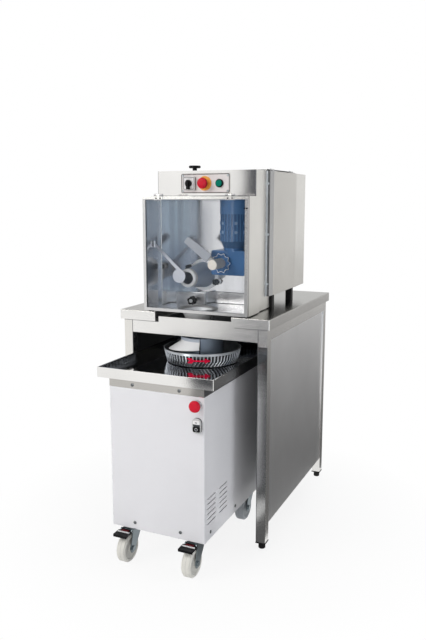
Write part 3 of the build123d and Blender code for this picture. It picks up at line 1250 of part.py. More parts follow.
def make_fork(x, y, braked):
    """Fork below the swivel head: crown, two legs and the axle with its nuts."""
    axle_y = y - TRAIL
    with BuildPart() as fork:
        rod((x, y, head_top - HEAD_T), UP, HEAD_R, HEAD_T)
        chamfer(fork.faces().sort_by(Axis.Z)[-1].edges(), CROWN_T)
        block(around(x, wheel_gap + FORK_T), (y - HEAD_R, y + FORK_BACK), (crown_z, head_top - HEAD_T))
        ear_y = y - PEDAL_PIVOT
        leg = [
            (y + FORK_BACK, head_top - HEAD_T),
            (y + FORK_BACK, crown_z - CROWN_T),
            (axle_y + FORK_END_R, WHEEL_R - FORK_END_R / 2),
            (axle_y + FORK_END_R / 2, WHEEL_R - FORK_END_R),
            (axle_y - FORK_END_R / 2, WHEEL_R - FORK_END_R),
            (axle_y - FORK_END_R, WHEEL_R),
            (y - HEAD_R, crown_z),
            (y - HEAD_R, head_top - HEAD_T),
        ]
        for start in (x - wheel_gap - FORK_T, x + wheel_gap):
            prism(leg, Plane(origin=(start, 0, 0), x_dir=TO_BACK, z_dir=TO_RIGHT), FORK_T)
            if braked:
                rod((start, ear_y, pedal_z), TO_RIGHT, PEDAL_EAR_R, FORK_T)
                block((start, start + FORK_T), (ear_y, y - HEAD_R), around(pedal_z, CROWN_T))
        axle_half = wheel_gap + FORK_T + AXLE_NUT_T
        rod((x - axle_half, axle_y, WHEEL_R), TO_RIGHT, AXLE_R, 2 * axle_half)
        for start in (x - axle_half, x + axle_half - AXLE_NUT_T):
            rod((start, axle_y, WHEEL_R), TO_RIGHT, AXLE_NUT_R, AXLE_NUT_T)
        rod((x, y, crown_z), UP, KING_R + SHAFT_GAP, head_top - crown_z, Mode.SUBTRACT)
        if braked:
            pin_l = 2 * (wheel_gap + FORK_T)
            pin = (x - pin_l / 2, ear_y, pedal_z)
            rod(pin, TO_RIGHT, PEDAL_PIN_R + SHAFT_GAP, pin_l, Mode.SUBTRACT)
    return fork


def make_wheel(x, y):
    """Wheel with rounded shoulders and dished sides, standing on the floor."""
    half = WHEEL_W / 2
    rim = WHEEL_R - 2 * WHEEL_EDGE
    outline = [
        (-half, AXLE_R + SHAFT_GAP),
        (-half, WHEEL_HUB_R),
        (-half + WHEEL_DISH, WHEEL_HUB_R + WHEEL_DISH),
        (-half + WHEEL_DISH, rim - WHEEL_DISH),
        (-half, rim),
        (-half, WHEEL_R - WHEEL_EDGE),
        (-half + WHEEL_EDGE, WHEEL_R),
    ]
    mirrored = [(-along, radius) for along, radius in reversed(outline)]
    with BuildPart() as wheel:
        turned(outline + mirrored, (x, y - TRAIL, WHEEL_R), TO_RIGHT)
    return wheel


def make_pedal(x, y):
    """Brake pedal: wide tread with a turned-down lip, on a pin between the fork's ears."""
    tip = y - PEDAL_REACH
    pin_y = y - PEDAL_PIVOT
    tread_y = pin_y - PEDAL_EAR_R - SHEET
    tread_z = around(pedal_z, PEDAL_T / 2)
    tongue_y = (tread_y, pin_y + PEDAL_T / 2)
    with BuildPart() as pedal:
        block(around(x, PEDAL_W / 2), (tip, tread_y), tread_z)
        lip_z = (tread_z[1] - PEDAL_LIP, tread_z[1])
        block(around(x, PEDAL_W / 2), (tip, tip + PEDAL_T / 2), lip_z)
        fillet(pedal.edges().filter_by(Axis.Z), SHEET / 2)
        block(around(x, PEDAL_TONGUE_W / 2), tongue_y, tread_z)
        pin_l = 2 * (wheel_gap + FORK_T)
        rod((x - pin_l / 2, pin_y, pedal_z), TO_RIGHT, PEDAL_PIN_R, pin_l)
    return pedal


for end, y in zip(("front", "rear"), castor_y):
    for side, x in zip(("left", "right"), castor_x):
        save(make_fork(x, y, end == "front"), f"castor_fork_{end}_{side}")
        save(make_wheel(x, y), f"castor_wheel_{end}_{side}")
        if end == "front":
            save(make_pedal(x, y), f"brake_pedal_{side}")

# Cart screws: heads on the band and the cabinet, and the castors' king bolts
with BuildPart() as cart_screws:
    for x in around(CART_X, CART_SCREW_X):
        screw_head((x, cabinet_y[0], TRAY_Z - BAND_SCREW_DROP), TO_FRONT, CART_SCREW_R)
        screw_head((x, cabinet_y[0], CASTOR_H + CART_SCREW_RISE), TO_FRONT, CART_SCREW_R)
    for start in SIDE_SCREW_D:
        side_y = cabinet_y[0] + start
        screw_head((cabinet_x[1], side_y, CASTOR_H + CART_SCREW_RISE), TO_RIGHT, CART_SCREW_R)
        screw_head((cabinet_x[0], side_y, CASTOR_H + CART_SCREW_RISE), TO_LEFT, CART_SCREW_R)
    for x in castor_x:
        for y in castor_y:
            king_top = CASTOR_H + BASE_T
            nut_top = crown_z - SLIDE_GAP
            rod((x, y, king_top), DOWN, KING_R, king_top - nut_top + KING_NUT_T)
            rod((x, y, king_top), UP, KING_HEAD_R, KING_R)
            rod((x, y, nut_top), DOWN, KING_NUT_R, KING_NUT_T)
save(cart_screws, "cart_screws")
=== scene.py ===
import json
import math

import bmesh
import bpy
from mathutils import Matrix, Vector


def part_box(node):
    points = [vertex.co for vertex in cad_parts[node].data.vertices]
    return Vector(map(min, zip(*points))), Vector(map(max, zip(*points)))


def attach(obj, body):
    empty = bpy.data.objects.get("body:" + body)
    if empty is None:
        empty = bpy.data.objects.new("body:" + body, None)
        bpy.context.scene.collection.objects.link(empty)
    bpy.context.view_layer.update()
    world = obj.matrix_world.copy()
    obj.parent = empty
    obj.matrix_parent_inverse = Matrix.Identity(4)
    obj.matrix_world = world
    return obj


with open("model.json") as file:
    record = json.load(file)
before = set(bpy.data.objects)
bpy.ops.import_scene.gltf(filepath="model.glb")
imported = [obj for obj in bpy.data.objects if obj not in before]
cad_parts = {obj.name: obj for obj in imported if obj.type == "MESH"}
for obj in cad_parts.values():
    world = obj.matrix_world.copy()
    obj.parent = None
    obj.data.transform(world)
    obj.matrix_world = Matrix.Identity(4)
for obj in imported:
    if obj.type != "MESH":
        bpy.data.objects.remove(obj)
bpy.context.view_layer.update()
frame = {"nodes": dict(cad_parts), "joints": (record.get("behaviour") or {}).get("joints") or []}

# Looks of the dough divider, its table and its rounder cart. Metres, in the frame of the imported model:
# the front faces -y, x runs to the right and z = 0 is the floor.

nodes = frame["nodes"]
joints = {joint["name"]: joint for joint in frame["joints"]}
MM = 0.001

# Camera, matched to the photograph
CAMERA_AT = (1.0722, -2.4189, 1.2670)
CAMERA_AZIMUTH = 24.23
CAMERA_DIP = 9.47
IMAGE_H = 640.0
FOCAL_PIXELS = 679.15
SENSOR = 36.0
SHIFT_X = -0.0031
SHIFT_Y = -0.0099

# Light: each lamp has a place, a target, a width, a power and a colour
SKY_DIFFUSE = 0.28
LAMPS = {
    "key": ((-2.4, -3.2, 3.0), (0, -0.1, 0.8), 2.6, 90.0, (1.0, 0.98, 0.95)),
    "front": ((0.6, -4.2, 1.2), (0, 0, 0.8), 1.6, 34.0, (1, 1, 1)),
    "fill": ((4.2, 0.6, 1.7), (0, -0.2, 0.7), 1.8, 48.0, (0.96, 0.98, 1.0)),
    "top": ((0.2, 0.4, 3.6), (0, 0, 0.8), 2.6, 28.0, (1, 1, 1)),
}
UNMIRRORED_LAMP = "top"


def scaled(colour, factor):
    return tuple(min(1.0, channel * factor) for channel in colour)


class Shader:
    """One procedural material, built node by node around a Principled shader."""

    def __init__(self, name, **inputs):
        self.material = bpy.data.materials.new(name)
        self.material.use_nodes = True
        self.tree = self.material.node_tree
        self.surface = self.tree.nodes["Principled BSDF"]
        self.output = self.tree.nodes["Material Output"]
        self.place = self.tree.nodes.new("ShaderNodeTexCoord").outputs["Object"]
        self.axes = self.node("ShaderNodeSeparateXYZ", {0: self.place}).outputs
        for socket, value in inputs.items():
            self.surface.inputs[socket.replace("_", " ")].default_value = value

    def link(self, output, socket):
        self.tree.links.new(output, socket)

    def node(self, kind, links=(), **values):
        """New node; links maps its inputs to outputs of other nodes, values sets its attributes."""
        made = self.tree.nodes.new(kind)
        for key, value in values.items():
            setattr(made, key, value)
        for key, output in dict(links).items():
            self.link(output, made.inputs[key])
        return made

    def put(self, made, terms):
        """Fills a node's first inputs, each from another node's output or with a fixed value."""
        for key, term in enumerate(terms):
            if isinstance(term, bpy.types.NodeSocket):
                self.link(term, made.inputs[key])
            else:
                made.inputs[key].default_value = term

    def math(self, operation, *terms):
        """Result of an operation on numbers."""
        made = self.node("ShaderNodeMath", operation=operation)
        self.put(made, terms)
        return made.outputs["Value"]

    def vector(self, operation, *terms):
        """Result of an operation on vectors."""
        made = self.node("ShaderNodeVectorMath", operation=operation)
        self.put(made, terms)
        return made.outputs["Value" if operation == "LENGTH" else "Vector"]

    def away_from(self, point, keep):
        """Distance from a point, over the axes that keep marks with 1."""
        centred = self.vector("SUBTRACT", self.place, point)
        return self.vector("LENGTH", self.vector("MULTIPLY", centred, keep))

    def noise(self, scale, stretch=(1, 1, 1), detail=3.0, rough=0.5):
        """Noise between 0 and 1 over the object's own coordinates, stretched along an axis."""
        moved = self.node("ShaderNodeMapping", {"Vector": self.place})
        moved.inputs["Scale"].default_value = stretch
        found = self.node("ShaderNodeTexNoise", {"Vector": moved.outputs["Vector"]})
        found.inputs["Scale"].default_value = scale
        found.inputs["Detail"].default_value = detail
        found.inputs["Roughness"].default_value = rough
        return found.outputs["Fac"]

    def span(self, value, low, high, start=0.3, end=0.7):
        """The value mapped from start..end to low..high."""
        ranged = self.node("ShaderNodeMapRange", {"Value": value})
        ranged.inputs["From Min"].default_value = start
        ranged.inputs["From Max"].default_value = end
        ranged.inputs["To Min"].default_value = low
        ranged.inputs["To Max"].default_value = high
        return ranged.outputs["Result"]

    def tint(self, value, dark, light, start=0.3, end=0.7):
        """Colour between two tints, by a value."""
        ramp = self.node("ShaderNodeValToRGB", {"Fac": value})
        ramp.color_ramp.elements[0].position = start
        ramp.color_ramp.elements[1].position = end
        ramp.color_ramp.elements[0].color = (*dark, 1)
        ramp.color_ramp.elements[1].color = (*light, 1)
        return ramp.outputs["Color"]

    def vary(self, value, colour, spread, start=0.3, end=0.7):
        """Colour that a value darkens and lightens by a share."""
        return self.tint(value, scaled(colour, 1 - spread), scaled(colour, 1 + spread), start, end)

    def add(self, first, second, share):
        """first + share * second."""
        return self.math("MULTIPLY_ADD", second, share, first)

    def within(self, axis, low, high):
        """1 where the coordinate lies between low and high, 0 elsewhere."""
        return self.math("COMPARE", self.axes[axis], (low + high) / 2, (high - low) / 2)

    def inside(self, low, high):
        """1 inside a box, 0 outside it."""
        x, y, z = (self.within(axis, *ends) for axis, ends in enumerate(zip(low, high)))
        return self.math("MULTIPLY", self.math("MULTIPLY", x, y), z)

    def choose(self, mask, outside, inside, kind):
        """One of two outputs by a mask; kind is RGBA or FLOAT."""
        mixed = self.node("ShaderNodeMix", data_type=kind)
        first, second, result = (6, 7, 2) if kind == "RGBA" else (2, 3, 0)
        self.link(mask, mixed.inputs[0])
        self.link(outside, mixed.inputs[first])
        self.link(inside, mixed.inputs[second])
        return mixed.outputs[result]

    def cleared(self, value, mask):
        """The value, or 0 where the mask is 1."""
        return self.math("MULTIPLY", value, self.math("SUBTRACT", 1.0, mask))

    def relief(self, height, strength, distance):
        """Bump of the surface from a height."""
        bump = self.node("ShaderNodeBump", {"Height": height})
        bump.inputs["Strength"].default_value = strength
        bump.inputs["Distance"].default_value = distance
        self.feed("Normal", bump.outputs["Normal"])

    def feed(self, socket, output):
        self.link(output, self.surface.inputs[socket])


# Zones: parts of a node with a finish of their own, or with painted shade or a painted highlight. FAR lies
# beyond every node.
# SKIN and CAP are the depths of zones on one face.
FAR = 9.0
SKIN = 1.0 * MM
CAP = 1.2 * MM


def zone(colour, roughness=None, x=(-FAR, FAR), y=(-FAR, FAR), z=(0, FAR)):
    """Box with its own colour and roughness, open to the sides that aren't given."""
    low, high = zip(x, y, z)
    return low, high, colour, roughness


def corners(node, margin):
    """Corners of a node's box, pulled in by a margin."""
    low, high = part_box(node)
    step = Vector((margin, margin, margin))
    return low + step, high - step


def middle_of(node):
    low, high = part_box(node)
    return (low + high) / 2


def dress(finish, *names):
    """Gives nodes a finish."""
    for name in names:
        mesh = nodes[name].data
        mesh.materials.clear()
        mesh.materials.append(finish)


# Kinds of finish
ALONG_X = (0.02, 1.0, 1.0)
ALONG_Y = (1.0, 0.02, 1.0)
ALONG_Z = (1.0, 1.0, 0.02)
ALL_WAYS = (1, 1, 1)


def sheet_steel(name, colour, roughness, grain, polish=0.03, cloud=0.05, zones=(), metal=1.0, edge=1.0,
                streak=0.0):
    """Stainless sheet: fine lines along one axis, faint clouds and wiped smears.

    Zones are smooth. metal is lower for a blasted, matt surface. edge lowers what it mirrors at a low angle.
    streak gives the zones broad bands along the grain.
    """
    steel = Shader(name, Metallic=metal, Specular_Tint=(edge, edge, edge, 1))
    lines = steel.noise(900.0, grain, detail=4.0, rough=0.65)
    clouds = steel.noise(5.0, detail=3.0)
    smears = steel.noise(16.0, (1.0, 1.0, 0.35), detail=5.0, rough=0.6)
    mixed = steel.add(clouds, lines, 0.5)
    base = steel.vary(mixed, colour, cloud, 0.5, 1.0)
    rough = steel.add(steel.span(lines, roughness - polish, roughness + polish), smears, 0.05)
    height = lines
    bands = steel.noise(20.0, grain, detail=1.5) if streak else None
    for low, high, zone_colour, zone_rough in zones:
        mask = steel.inside(low, high)
        if streak:
            zone_base = steel.vary(bands, zone_colour, streak, 0.36, 0.64)
        else:
            zone_base = steel.vary(mixed, zone_colour, cloud, 0.5, 1.0)
        base = steel.choose(mask, base, zone_base, "RGBA")
        zone_lines = steel.span(lines, zone_rough * 0.8, zone_rough * 1.2)
        rough = steel.choose(mask, rough, steel.add(zone_lines, smears, 0.03), "FLOAT")
        height = steel.cleared(height, mask)
    steel.feed("Base Color", base)
    steel.feed("Roughness", rough)
    steel.relief(height, 0.05, 0.2 * MM)
    return steel.material


def cast_bowl(name, node, wall_h, inner_top, inner_foot, wall, colour, inner_colour):
    """Fluted casting: bright on rim and ridges, painted darker in the flutes as shade, and rougher and
    painted dark within its sloping wall as shade.
    """
    low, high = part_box(node)
    middle = (low + high) / 2
    bowl = Shader(name)
    radius = bowl.away_from(middle, (1, 1, 0))
    drop = bowl.math("SUBTRACT", bowl.axes["Z"], high.z)
    upright = bowl.add(radius, drop, (inner_foot - inner_top) / wall_h)
    within = bowl.math("LESS_THAN", upright, inner_top + SKIN)
    grain = bowl.noise(60.0, detail=5.0, rough=0.6)
    ridge = bowl.span(upright, 0.0, 1.0, inner_top + 0.4 * wall, inner_top + 0.95 * wall)
    crest = bowl.math("MULTIPLY", ridge, ridge)
    outer = bowl.tint(bowl.add(crest, grain, 0.08), scaled(colour, 0.08), colour, 0.05, 0.9)
    inner = bowl.vary(grain, inner_colour, 0.2)
    smooth = bowl.span(grain, 0.14, 0.20)
    dull = bowl.span(grain, 0.34, 0.46)
    bowl.feed("Metallic", bowl.span(crest, 1.0, 0.3, 0.1, 0.8))
    bowl.feed("Base Color", bowl.choose(within, outer, inner, "RGBA"))
    bowl.feed("Roughness", bowl.choose(within, smooth, dull, "FLOAT"))
    bowl.relief(bowl.noise(420.0, detail=2.0), 0.04, 0.3 * MM)
    return bowl.material


def moulded_wheel(name, node, colour):
    """Nylon wheel: pale hub and rim, a web between them painted darker as shade in its recess, and a parting
    line round the tread.
    """
    web_r, web_half, line_half = 27 * MM, 11 * MM, 0.7 * MM
    middle = middle_of(node)
    wheel = Shader(name)
    web = wheel.math("COMPARE", wheel.away_from(middle, (0, 1, 1)), web_r, web_half)
    clouds = wheel.noise(30.0, detail=4.0, rough=0.6)
    pale = wheel.tint(clouds, scaled(colour, 0.95), scaled(colour, 1.04))
    # the web's darker tone is painted shade in its recess; the parting line takes it too
    dull = wheel.tint(clouds, scaled(colour, 0.74), scaled(colour, 0.82))
    parting = wheel.within(0, middle.x - line_half, middle.x + line_half)
    sides = wheel.choose(web, pale, dull, "RGBA")
    wheel.feed("Base Color", wheel.choose(parting, sides, dull, "RGBA"))
    wheel.feed("Roughness", wheel.span(clouds, 0.36, 0.50))
    wheel.relief(wheel.noise(480.0, detail=2.0), 0.10, 0.4 * MM)
    return wheel.material


def finned_paint(name, node, inner, outer, colour):
    """Machine paint on a finned casing: painted shade between the fins and a painted highlight on their
    tips.
    """
    paint = Shader(name, Coat_Weight=0.2, Coat_Roughness=0.15, Specular_IOR_Level=0.35)
    radius = paint.away_from(middle_of(node), (1, 1, 0))
    clouds = paint.noise(22.0, detail=4.0, rough=0.6)
    tip = paint.add(paint.span(radius, 0.0, 1.0, inner, outer), clouds, 0.25)
    paint.feed("Base Color", paint.tint(tip, scaled(colour, 0.72), scaled(colour, 1.5), 0.1, 1.0))
    paint.feed("Roughness", paint.span(clouds, 0.30, 0.46))
    paint.relief(paint.noise(260.0, detail=2.0), 0.2, 0.4 * MM)
    return paint.material


def coated(name, colour, roughness, peel_scale, peel, cloud=0.03, coat=0.0, gloss=0.4, zones=()):
    """Paint or moulded plastic: one colour with faint clouds and a fine surface texture.

    Zones have another colour and keep the roughness.
    """
    paint = Shader(name, Specular_IOR_Level=gloss, Coat_Weight=coat, Coat_Roughness=0.08)
    clouds = paint.noise(7.0, detail=4.0, rough=0.6)
    base = paint.vary(clouds, colour, cloud)
    for low, high, zone_colour, _ in zones:
        base = paint.choose(paint.inside(low, high), base, paint.vary(clouds, zone_colour, cloud), "RGBA")
    scuffs = paint.noise(38.0, detail=6.0, rough=0.7)
    paint.feed("Base Color", base)
    paint.feed("Roughness", paint.span(scuffs, roughness - 0.06, roughness + 0.08))
    paint.relief(paint.noise(peel_scale, detail=2.0), peel, 0.4 * MM)
    return paint.material


def clear_pane(name):
    """Clear sheet: see-through with a faint tint, and a mirror-like face with wiped streaks."""
    pane = Shader(name)
    pane.tree.nodes.remove(pane.surface)
    film = pane.noise(9.0, (1.0, 1.0, 0.3), detail=5.0, rough=0.6)
    clear = pane.node("ShaderNodeBsdfTransparent")
    pane.link(pane.tint(film, (0.966, 0.972, 0.980), (0.978, 0.983, 0.988)), clear.inputs["Color"])
    mirror = pane.node("ShaderNodeBsdfGlossy")
    pane.link(pane.span(film, 0.01, 0.05), mirror.inputs["Roughness"])
    facing = pane.node("ShaderNodeLayerWeight").outputs["Facing"]
    share = pane.span(pane.math("POWER", facing, 5.0), 0.012, 0.9, 0.0, 1.0)
    mix = pane.node("ShaderNodeMixShader", {0: share, 1: clear.outputs[0], 2: mirror.outputs[0]})
    pane.link(mix.outputs[0], pane.output.inputs["Surface"])
    return pane.material


def printed_plate(name, node, inset, line, corner, border, ink, field):
    """Plate with a printed field: a rounded outline runs inside its edge and the field lies within it."""
    low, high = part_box(node)
    half = (high - low) / 2
    straight = (half.x - inset - corner, 0, half.z - inset - corner)
    plate = Shader(name)
    grain = plate.noise(500.0, ALONG_X, detail=3.0)
    centred = plate.vector("SUBTRACT", plate.place, (low + high) / 2)
    folded = plate.vector("ABSOLUTE", plate.vector("MULTIPLY", centred, (1, 0, 1)))
    past_straight = plate.vector("MAXIMUM", plate.vector("SUBTRACT", folded, straight), (0, 0, 0))
    away = plate.vector("LENGTH", past_straight)
    ramp = plate.node("ShaderNodeValToRGB", {"Fac": plate.span(away, 0.0, 1.0, 0.0, 2 * corner)})
    ramp.color_ramp.interpolation = "CONSTANT"
    elements = ramp.color_ramp.elements
    elements[0].color = (*field, 1)
    elements[1].position = (corner - line) / (2 * corner)
    elements[1].color = (*ink, 1)
    elements.new(0.5).color = (*border, 1)
    plate.feed("Base Color", ramp.outputs["Color"])
    plate.feed("Roughness", plate.span(grain, 0.30, 0.42))
    plate.relief(grain, 0.04, 0.2 * MM)
    return plate.material


# Tints of the sheet
WARM_STEEL = (0.74, 0.725, 0.69)
GUARD_STEEL = (0.92, 0.91, 0.87)
BODY_STEEL = (0.93, 0.92, 0.88)
# painted shade and reflection on the right leg's front
LEG_SHADE_STEEL = (0.52, 0.52, 0.515)
# painted shade and reflection on the tray's side walls
RIM_SHADE_STEEL = (0.36, 0.36, 0.365)
PALE_STEEL = (0.82, 0.81, 0.79)
DOOR_STEEL = (0.65, 0.645, 0.64)
PANEL_STEEL = (0.86, 0.86, 0.865)
# painted dark reflection on the table top's upper face
TOP_REFLECTION_SHADE = (0.42, 0.415, 0.39)
MIRROR_STEEL = (0.74, 0.735, 0.74)
FLOOR_STEEL = (0.80, 0.79, 0.785)
# painted shade on the side cover's front fold band
EDGE_SHADE_STEEL = (0.60, 0.605, 0.61)
LINE_STEEL = (0.26, 0.26, 0.26)
TRAY_STEEL = (0.60, 0.61, 0.64)
BAND_STEEL = (0.50, 0.485, 0.46)
# painted shade on the inner sides of the table's panels
INNER_SHADE_STEEL = (0.16, 0.165, 0.17)
SHADE = (0.14, 0.14, 0.145)

# Finishes that nodes and added pieces share
# painted highlight on the scalloped edge of the knife shaft's flange
flange_highlight_steel = sheet_steel("flange_highlight_steel", (0.93, 0.93, 0.93), 0.35, ALONG_X)
blue_pale = coated("blue_pale", (0.25, 0.36, 0.51), 0.36, 260.0, 0.12, 0.08)
black_moulded = coated("black_moulded", (0.008, 0.008, 0.009), 0.42, 800.0, 0.14, 0.25, gloss=0.12)
black_rubber = coated("black_rubber", (0.008, 0.008, 0.008), 0.58, 420.0, 0.25, 0.25, gloss=0.3)
grey_moulded = coated("grey_moulded", (0.50, 0.51, 0.53), 0.36, 800.0, 0.08, 0.04)
red_film = coated("red_film", (0.80, 0.004, 0.050), 0.46, 700.0, 0.04, 0.04, gloss=0.1)
maroon_moulded = coated("maroon_moulded", (0.12, 0.010, 0.014), 0.44, 700.0, 0.08, 0.10, gloss=0.2)
white_moulded = coated("white_moulded", (0.78, 0.78, 0.79), 0.34, 700.0, 0.05, 0.02)

dress(black_rubber, "levelling_feet", "divider_feet")
dress(black_moulded, "switch_handle", "lid_knob", "start_bezel", "cart_stop_button")
dress(black_moulded, "brake_pedal_left", "brake_pedal_right")
dress(grey_moulded, "cart_estop_collar")

# Table; the steps below give a share of the right leg's tint from each height in millimetres: painted shade
# and reflection on its front
LEG_IN = 254 * MM
LEG_TOP = 760 * MM
LEG_SHADE_STEPS = {0: 1.0, 575: 0.86, 600: 0.74, 620: 0.62, 640: 0.50, 660: 0.42, 735: 0.62}
# half width of the painted shade in the seams beside the legs
SEAM_SHADE = 1.2 * MM
SKIRT_Z = 824 * MM
SKIRT_SHADOW = 4 * MM
NOTCH = (-141.5 * MM, 164.5 * MM)


def finish_table_top():
    """Folded top; its upper face is painted darker, a painted dark reflection."""
    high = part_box("table_top")[1]
    zones = [zone(TOP_REFLECTION_SHADE, 0.16, z=(high.z - SKIN, FAR))]
    dress(sheet_steel("steel_top", PALE_STEEL, 0.20, ALONG_X, zones=zones, edge=0.75), "table_top")


def finish_table_frame():
    """Frame with painted shade in the seams beside the legs and under the skirt; the right leg's front is
    painted darker in steps on its way up, a painted shade and reflection.
    """
    front = (-FAR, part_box("table_frame")[0].y + SKIN)
    zones = []
    # painted shade and reflection on the right leg's front, darker in steps on its way up
    for step, share in LEG_SHADE_STEPS.items():
        zones.append(zone(scaled(LEG_SHADE_STEEL, share), 0.16, x=(LEG_IN, FAR), y=front, z=(step * MM, LEG_TOP)))
    zones.append(zone(WARM_STEEL, 0.20, x=(-FAR, -LEG_IN), y=front))
    # painted shade in the seams beside the legs and under the skirt
    for leg in (-LEG_IN, LEG_IN):
        zones.append(zone(SHADE, 0.4, x=(leg - SEAM_SHADE, leg + SEAM_SHADE), y=front))
    for beside_notch in ((-FAR, NOTCH[0]), (NOTCH[1], FAR)):
        zones.append(zone(SHADE, 0.4, x=beside_notch, y=front, z=(SKIRT_Z - SKIRT_SHADOW, SKIRT_Z)))
    dress(sheet_steel("steel_frame", PALE_STEEL, 0.20, ALONG_X, zones=zones), "table_frame")


def finish_table_panels():
    """Brushed panels with inner sides painted dark as the shade inside the table."""
    low, high = corners("table_panels", SKIN)
    zones = [zone(INNER_SHADE_STEEL, 0.5, x=(low.x, high.x), y=(-FAR, high.y))]
    dress(sheet_steel("steel_panel", PANEL_STEEL, 0.30, ALONG_Z, zones=zones), "table_panels")


# Divider
STEP_X = -34 * MM
guard_low, guard_high = corners("guard_box", SKIN)
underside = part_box("side_cover")[0].z + 0.5 * MM


def finish_guard():
    """Chamber's box: mirror-like inside with a paler floor, and painted shade at the right of its front
    edge, in the gap beside the door.
    """
    inner_x = (guard_low.x, guard_high.x)
    floor_skin = 1.5 * MM
    zones = [
        zone(MIRROR_STEEL, 0.15, x=inner_x, z=(guard_low.z, guard_high.z)),
        zone(FLOOR_STEEL, 0.26, x=inner_x, z=(guard_low.z, guard_low.z + floor_skin)),
        # painted shade in the gap between the door and the right wall
        zone(SHADE, 0.4, x=(0, FAR), y=(-FAR, guard_low.y + SKIN)),
    ]
    dress(sheet_steel("steel_guard", GUARD_STEEL, 0.30, ALONG_Z, zones=zones, streak=0.10), "guard_box")


def finish_body():
    """Rear housing: mirror-like behind the chamber, paler low down, with painted shade lines at the foot of
    its walls and painted shade on its underside.
    """
    low, high = corners("body_shell", SKIN)
    inner_x = (low.x, high.x)
    wall = (-FAR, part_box("nozzle_knob_left")[1].y + SKIN)
    low_wall_y = guard_high.y - 0.5 * MM
    low_wall = (-FAR, low_wall_y)
    wall_shade_h, floor_shade_h = 2.5 * MM, 3.5 * MM
    zones = [
        zone(MIRROR_STEEL, 0.10, x=inner_x, y=wall, z=(0, guard_high.z)),
        zone(FLOOR_STEEL, 0.19, x=inner_x, y=low_wall, z=(0, underside)),
        # painted shade under the housing, then painted shade lines where its walls meet what lies below them
        zone(SHADE, 0.5, y=(low_wall_y, FAR), z=(0, underside)),
        zone(SHADE, 0.4, x=(STEP_X, high.x), y=wall, z=(underside, underside + wall_shade_h)),
        zone(SHADE, 0.5, x=inner_x, y=low_wall, z=(0, guard_low.z + floor_shade_h)),
    ]
    dress(sheet_steel("steel_body", BODY_STEEL, 0.30, ALONG_Z, zones=zones, streak=0.11), "body_shell")


def finish_cover():
    """Side cover: painted shade on its front fold band and underside, and a flange painted dark as a shadow
    gap, with a paler line.
    """
    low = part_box("side_cover")[0]
    edge_d, flange_in = 37 * MM, 3.5 * MM
    line = (low.x + 6.5 * MM, low.x + 8.5 * MM)
    front = (-FAR, low.y + SKIN)
    zones = [
        # painted shade: the front fold band, the underside and the flange's shadow gap
        zone(EDGE_SHADE_STEEL, 0.22, y=(low.y, low.y + edge_d)),
        zone(SHADE, 0.5, z=(0, underside)),
        zone(scaled(SHADE, 0.5), 0.45, x=(low.x + flange_in, FAR), y=front),
        zone(LINE_STEEL, 0.45, x=line, y=front),
    ]
    dress(sheet_steel("steel_cover", WARM_STEEL, 0.22, ALONG_Z, zones=zones), "side_cover")


def finish_control_box():
    """Polished control box: painted shade along its lower front edge, where it meets the ledge, a brushed
    right end, and painted shade on its front right corner.
    """
    low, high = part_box("control_box")
    foot, end, corner = 2.4 * MM, 1.5 * MM, 3 * MM
    zones = [
        # painted shade in the gap along the foot of the front; the last zone is painted shade on the front
        # right corner
        zone(SHADE, 0.4, y=(-FAR, low.y + SKIN), z=(0, low.z + foot)),
        zone(BODY_STEEL, 0.3, x=(high.x - end, FAR)),
        zone(SHADE, 0.3, x=(high.x - corner, FAR), y=(-FAR, low.y + corner)),
    ]
    dress(sheet_steel("steel_control", PALE_STEEL, 0.07, ALONG_X, 0.02, zones=zones), "control_box")


def finish_door():
    """Door with a pale top bar, dark hinge leaves and a clear pane."""
    low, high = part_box("door_frame")
    bar_h, face = 18 * MM, 4 * MM
    zones = [zone(BODY_STEEL, 0.20, y=(-FAR, low.y + face), z=(high.z - bar_h, FAR))]
    dress(sheet_steel("steel_door", DOOR_STEEL, 0.20, ALONG_X, zones=zones), "door_frame")
    dress(sheet_steel("steel_hinge", (0.44, 0.44, 0.45), 0.30, ALONG_X), "hinge_leaves")
    dress(clear_pane("pane_clear"), "door_panel")


def finish_nozzle():
    """Blasted nozzle with its bore painted bright as light in the recess and its flange painted bright as a
    highlight, its white ring and slate clamp knobs.
    """
    ring = middle_of("outlet_ring")
    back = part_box("nozzle_cone")[1].y
    bore, flange = 16 * MM, 7 * MM
    bore_x = (ring.x - bore, ring.x + bore)
    bore_z = (ring.z - bore, ring.z + bore)
    zones = [
        # painted light in the bore, then a painted highlight on the flange
        zone((0.95, 0.97, 1.0), 0.5, x=bore_x, z=bore_z),
        zone((0.95, 0.96, 0.97), 0.3, y=(back - flange, FAR)),
    ]
    cone = sheet_steel("steel_cone", (0.40, 0.48, 0.60), 0.52, ALONG_Y, 0.03, zones=zones, metal=0.2)
    dress(cone, "nozzle_cone")
    dress(coated("white_nylon", (0.66, 0.67, 0.68), 0.42, 480.0, 0.10, 0.05), "outlet_ring")
    slate = coated("slate_moulded", (0.035, 0.045, 0.060), 0.42, 800.0, 0.14, 0.15, gloss=0.3)
    dress(slate, "nozzle_knob_left", "nozzle_knob_right")


def finish_funnel():
    """Blasted drop funnel with a dark upper flange."""
    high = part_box("drop_funnel")[1]
    flange = 6 * MM
    zones = [zone((0.34, 0.335, 0.33), 0.5, z=(high.z - flange, FAR))]
    funnel = sheet_steel("steel_funnel", (0.95, 0.95, 0.96), 0.42, ALONG_X, 0.04, zones=zones, metal=0.2)
    dress(funnel, "drop_funnel")


def finish_hopper():
    """Lid, tub and auger of the hopper."""
    dress(sheet_steel("steel_lid", PALE_STEEL, 0.15, ALONG_X), "hopper_lid")
    dress(sheet_steel("steel_chamber", MIRROR_STEEL, 0.19, ALONG_Z, 0.02), "hopper")
    dress(sheet_steel("steel_turned", (0.86, 0.87, 0.88), 0.30, ALONG_Y), "feed_auger")


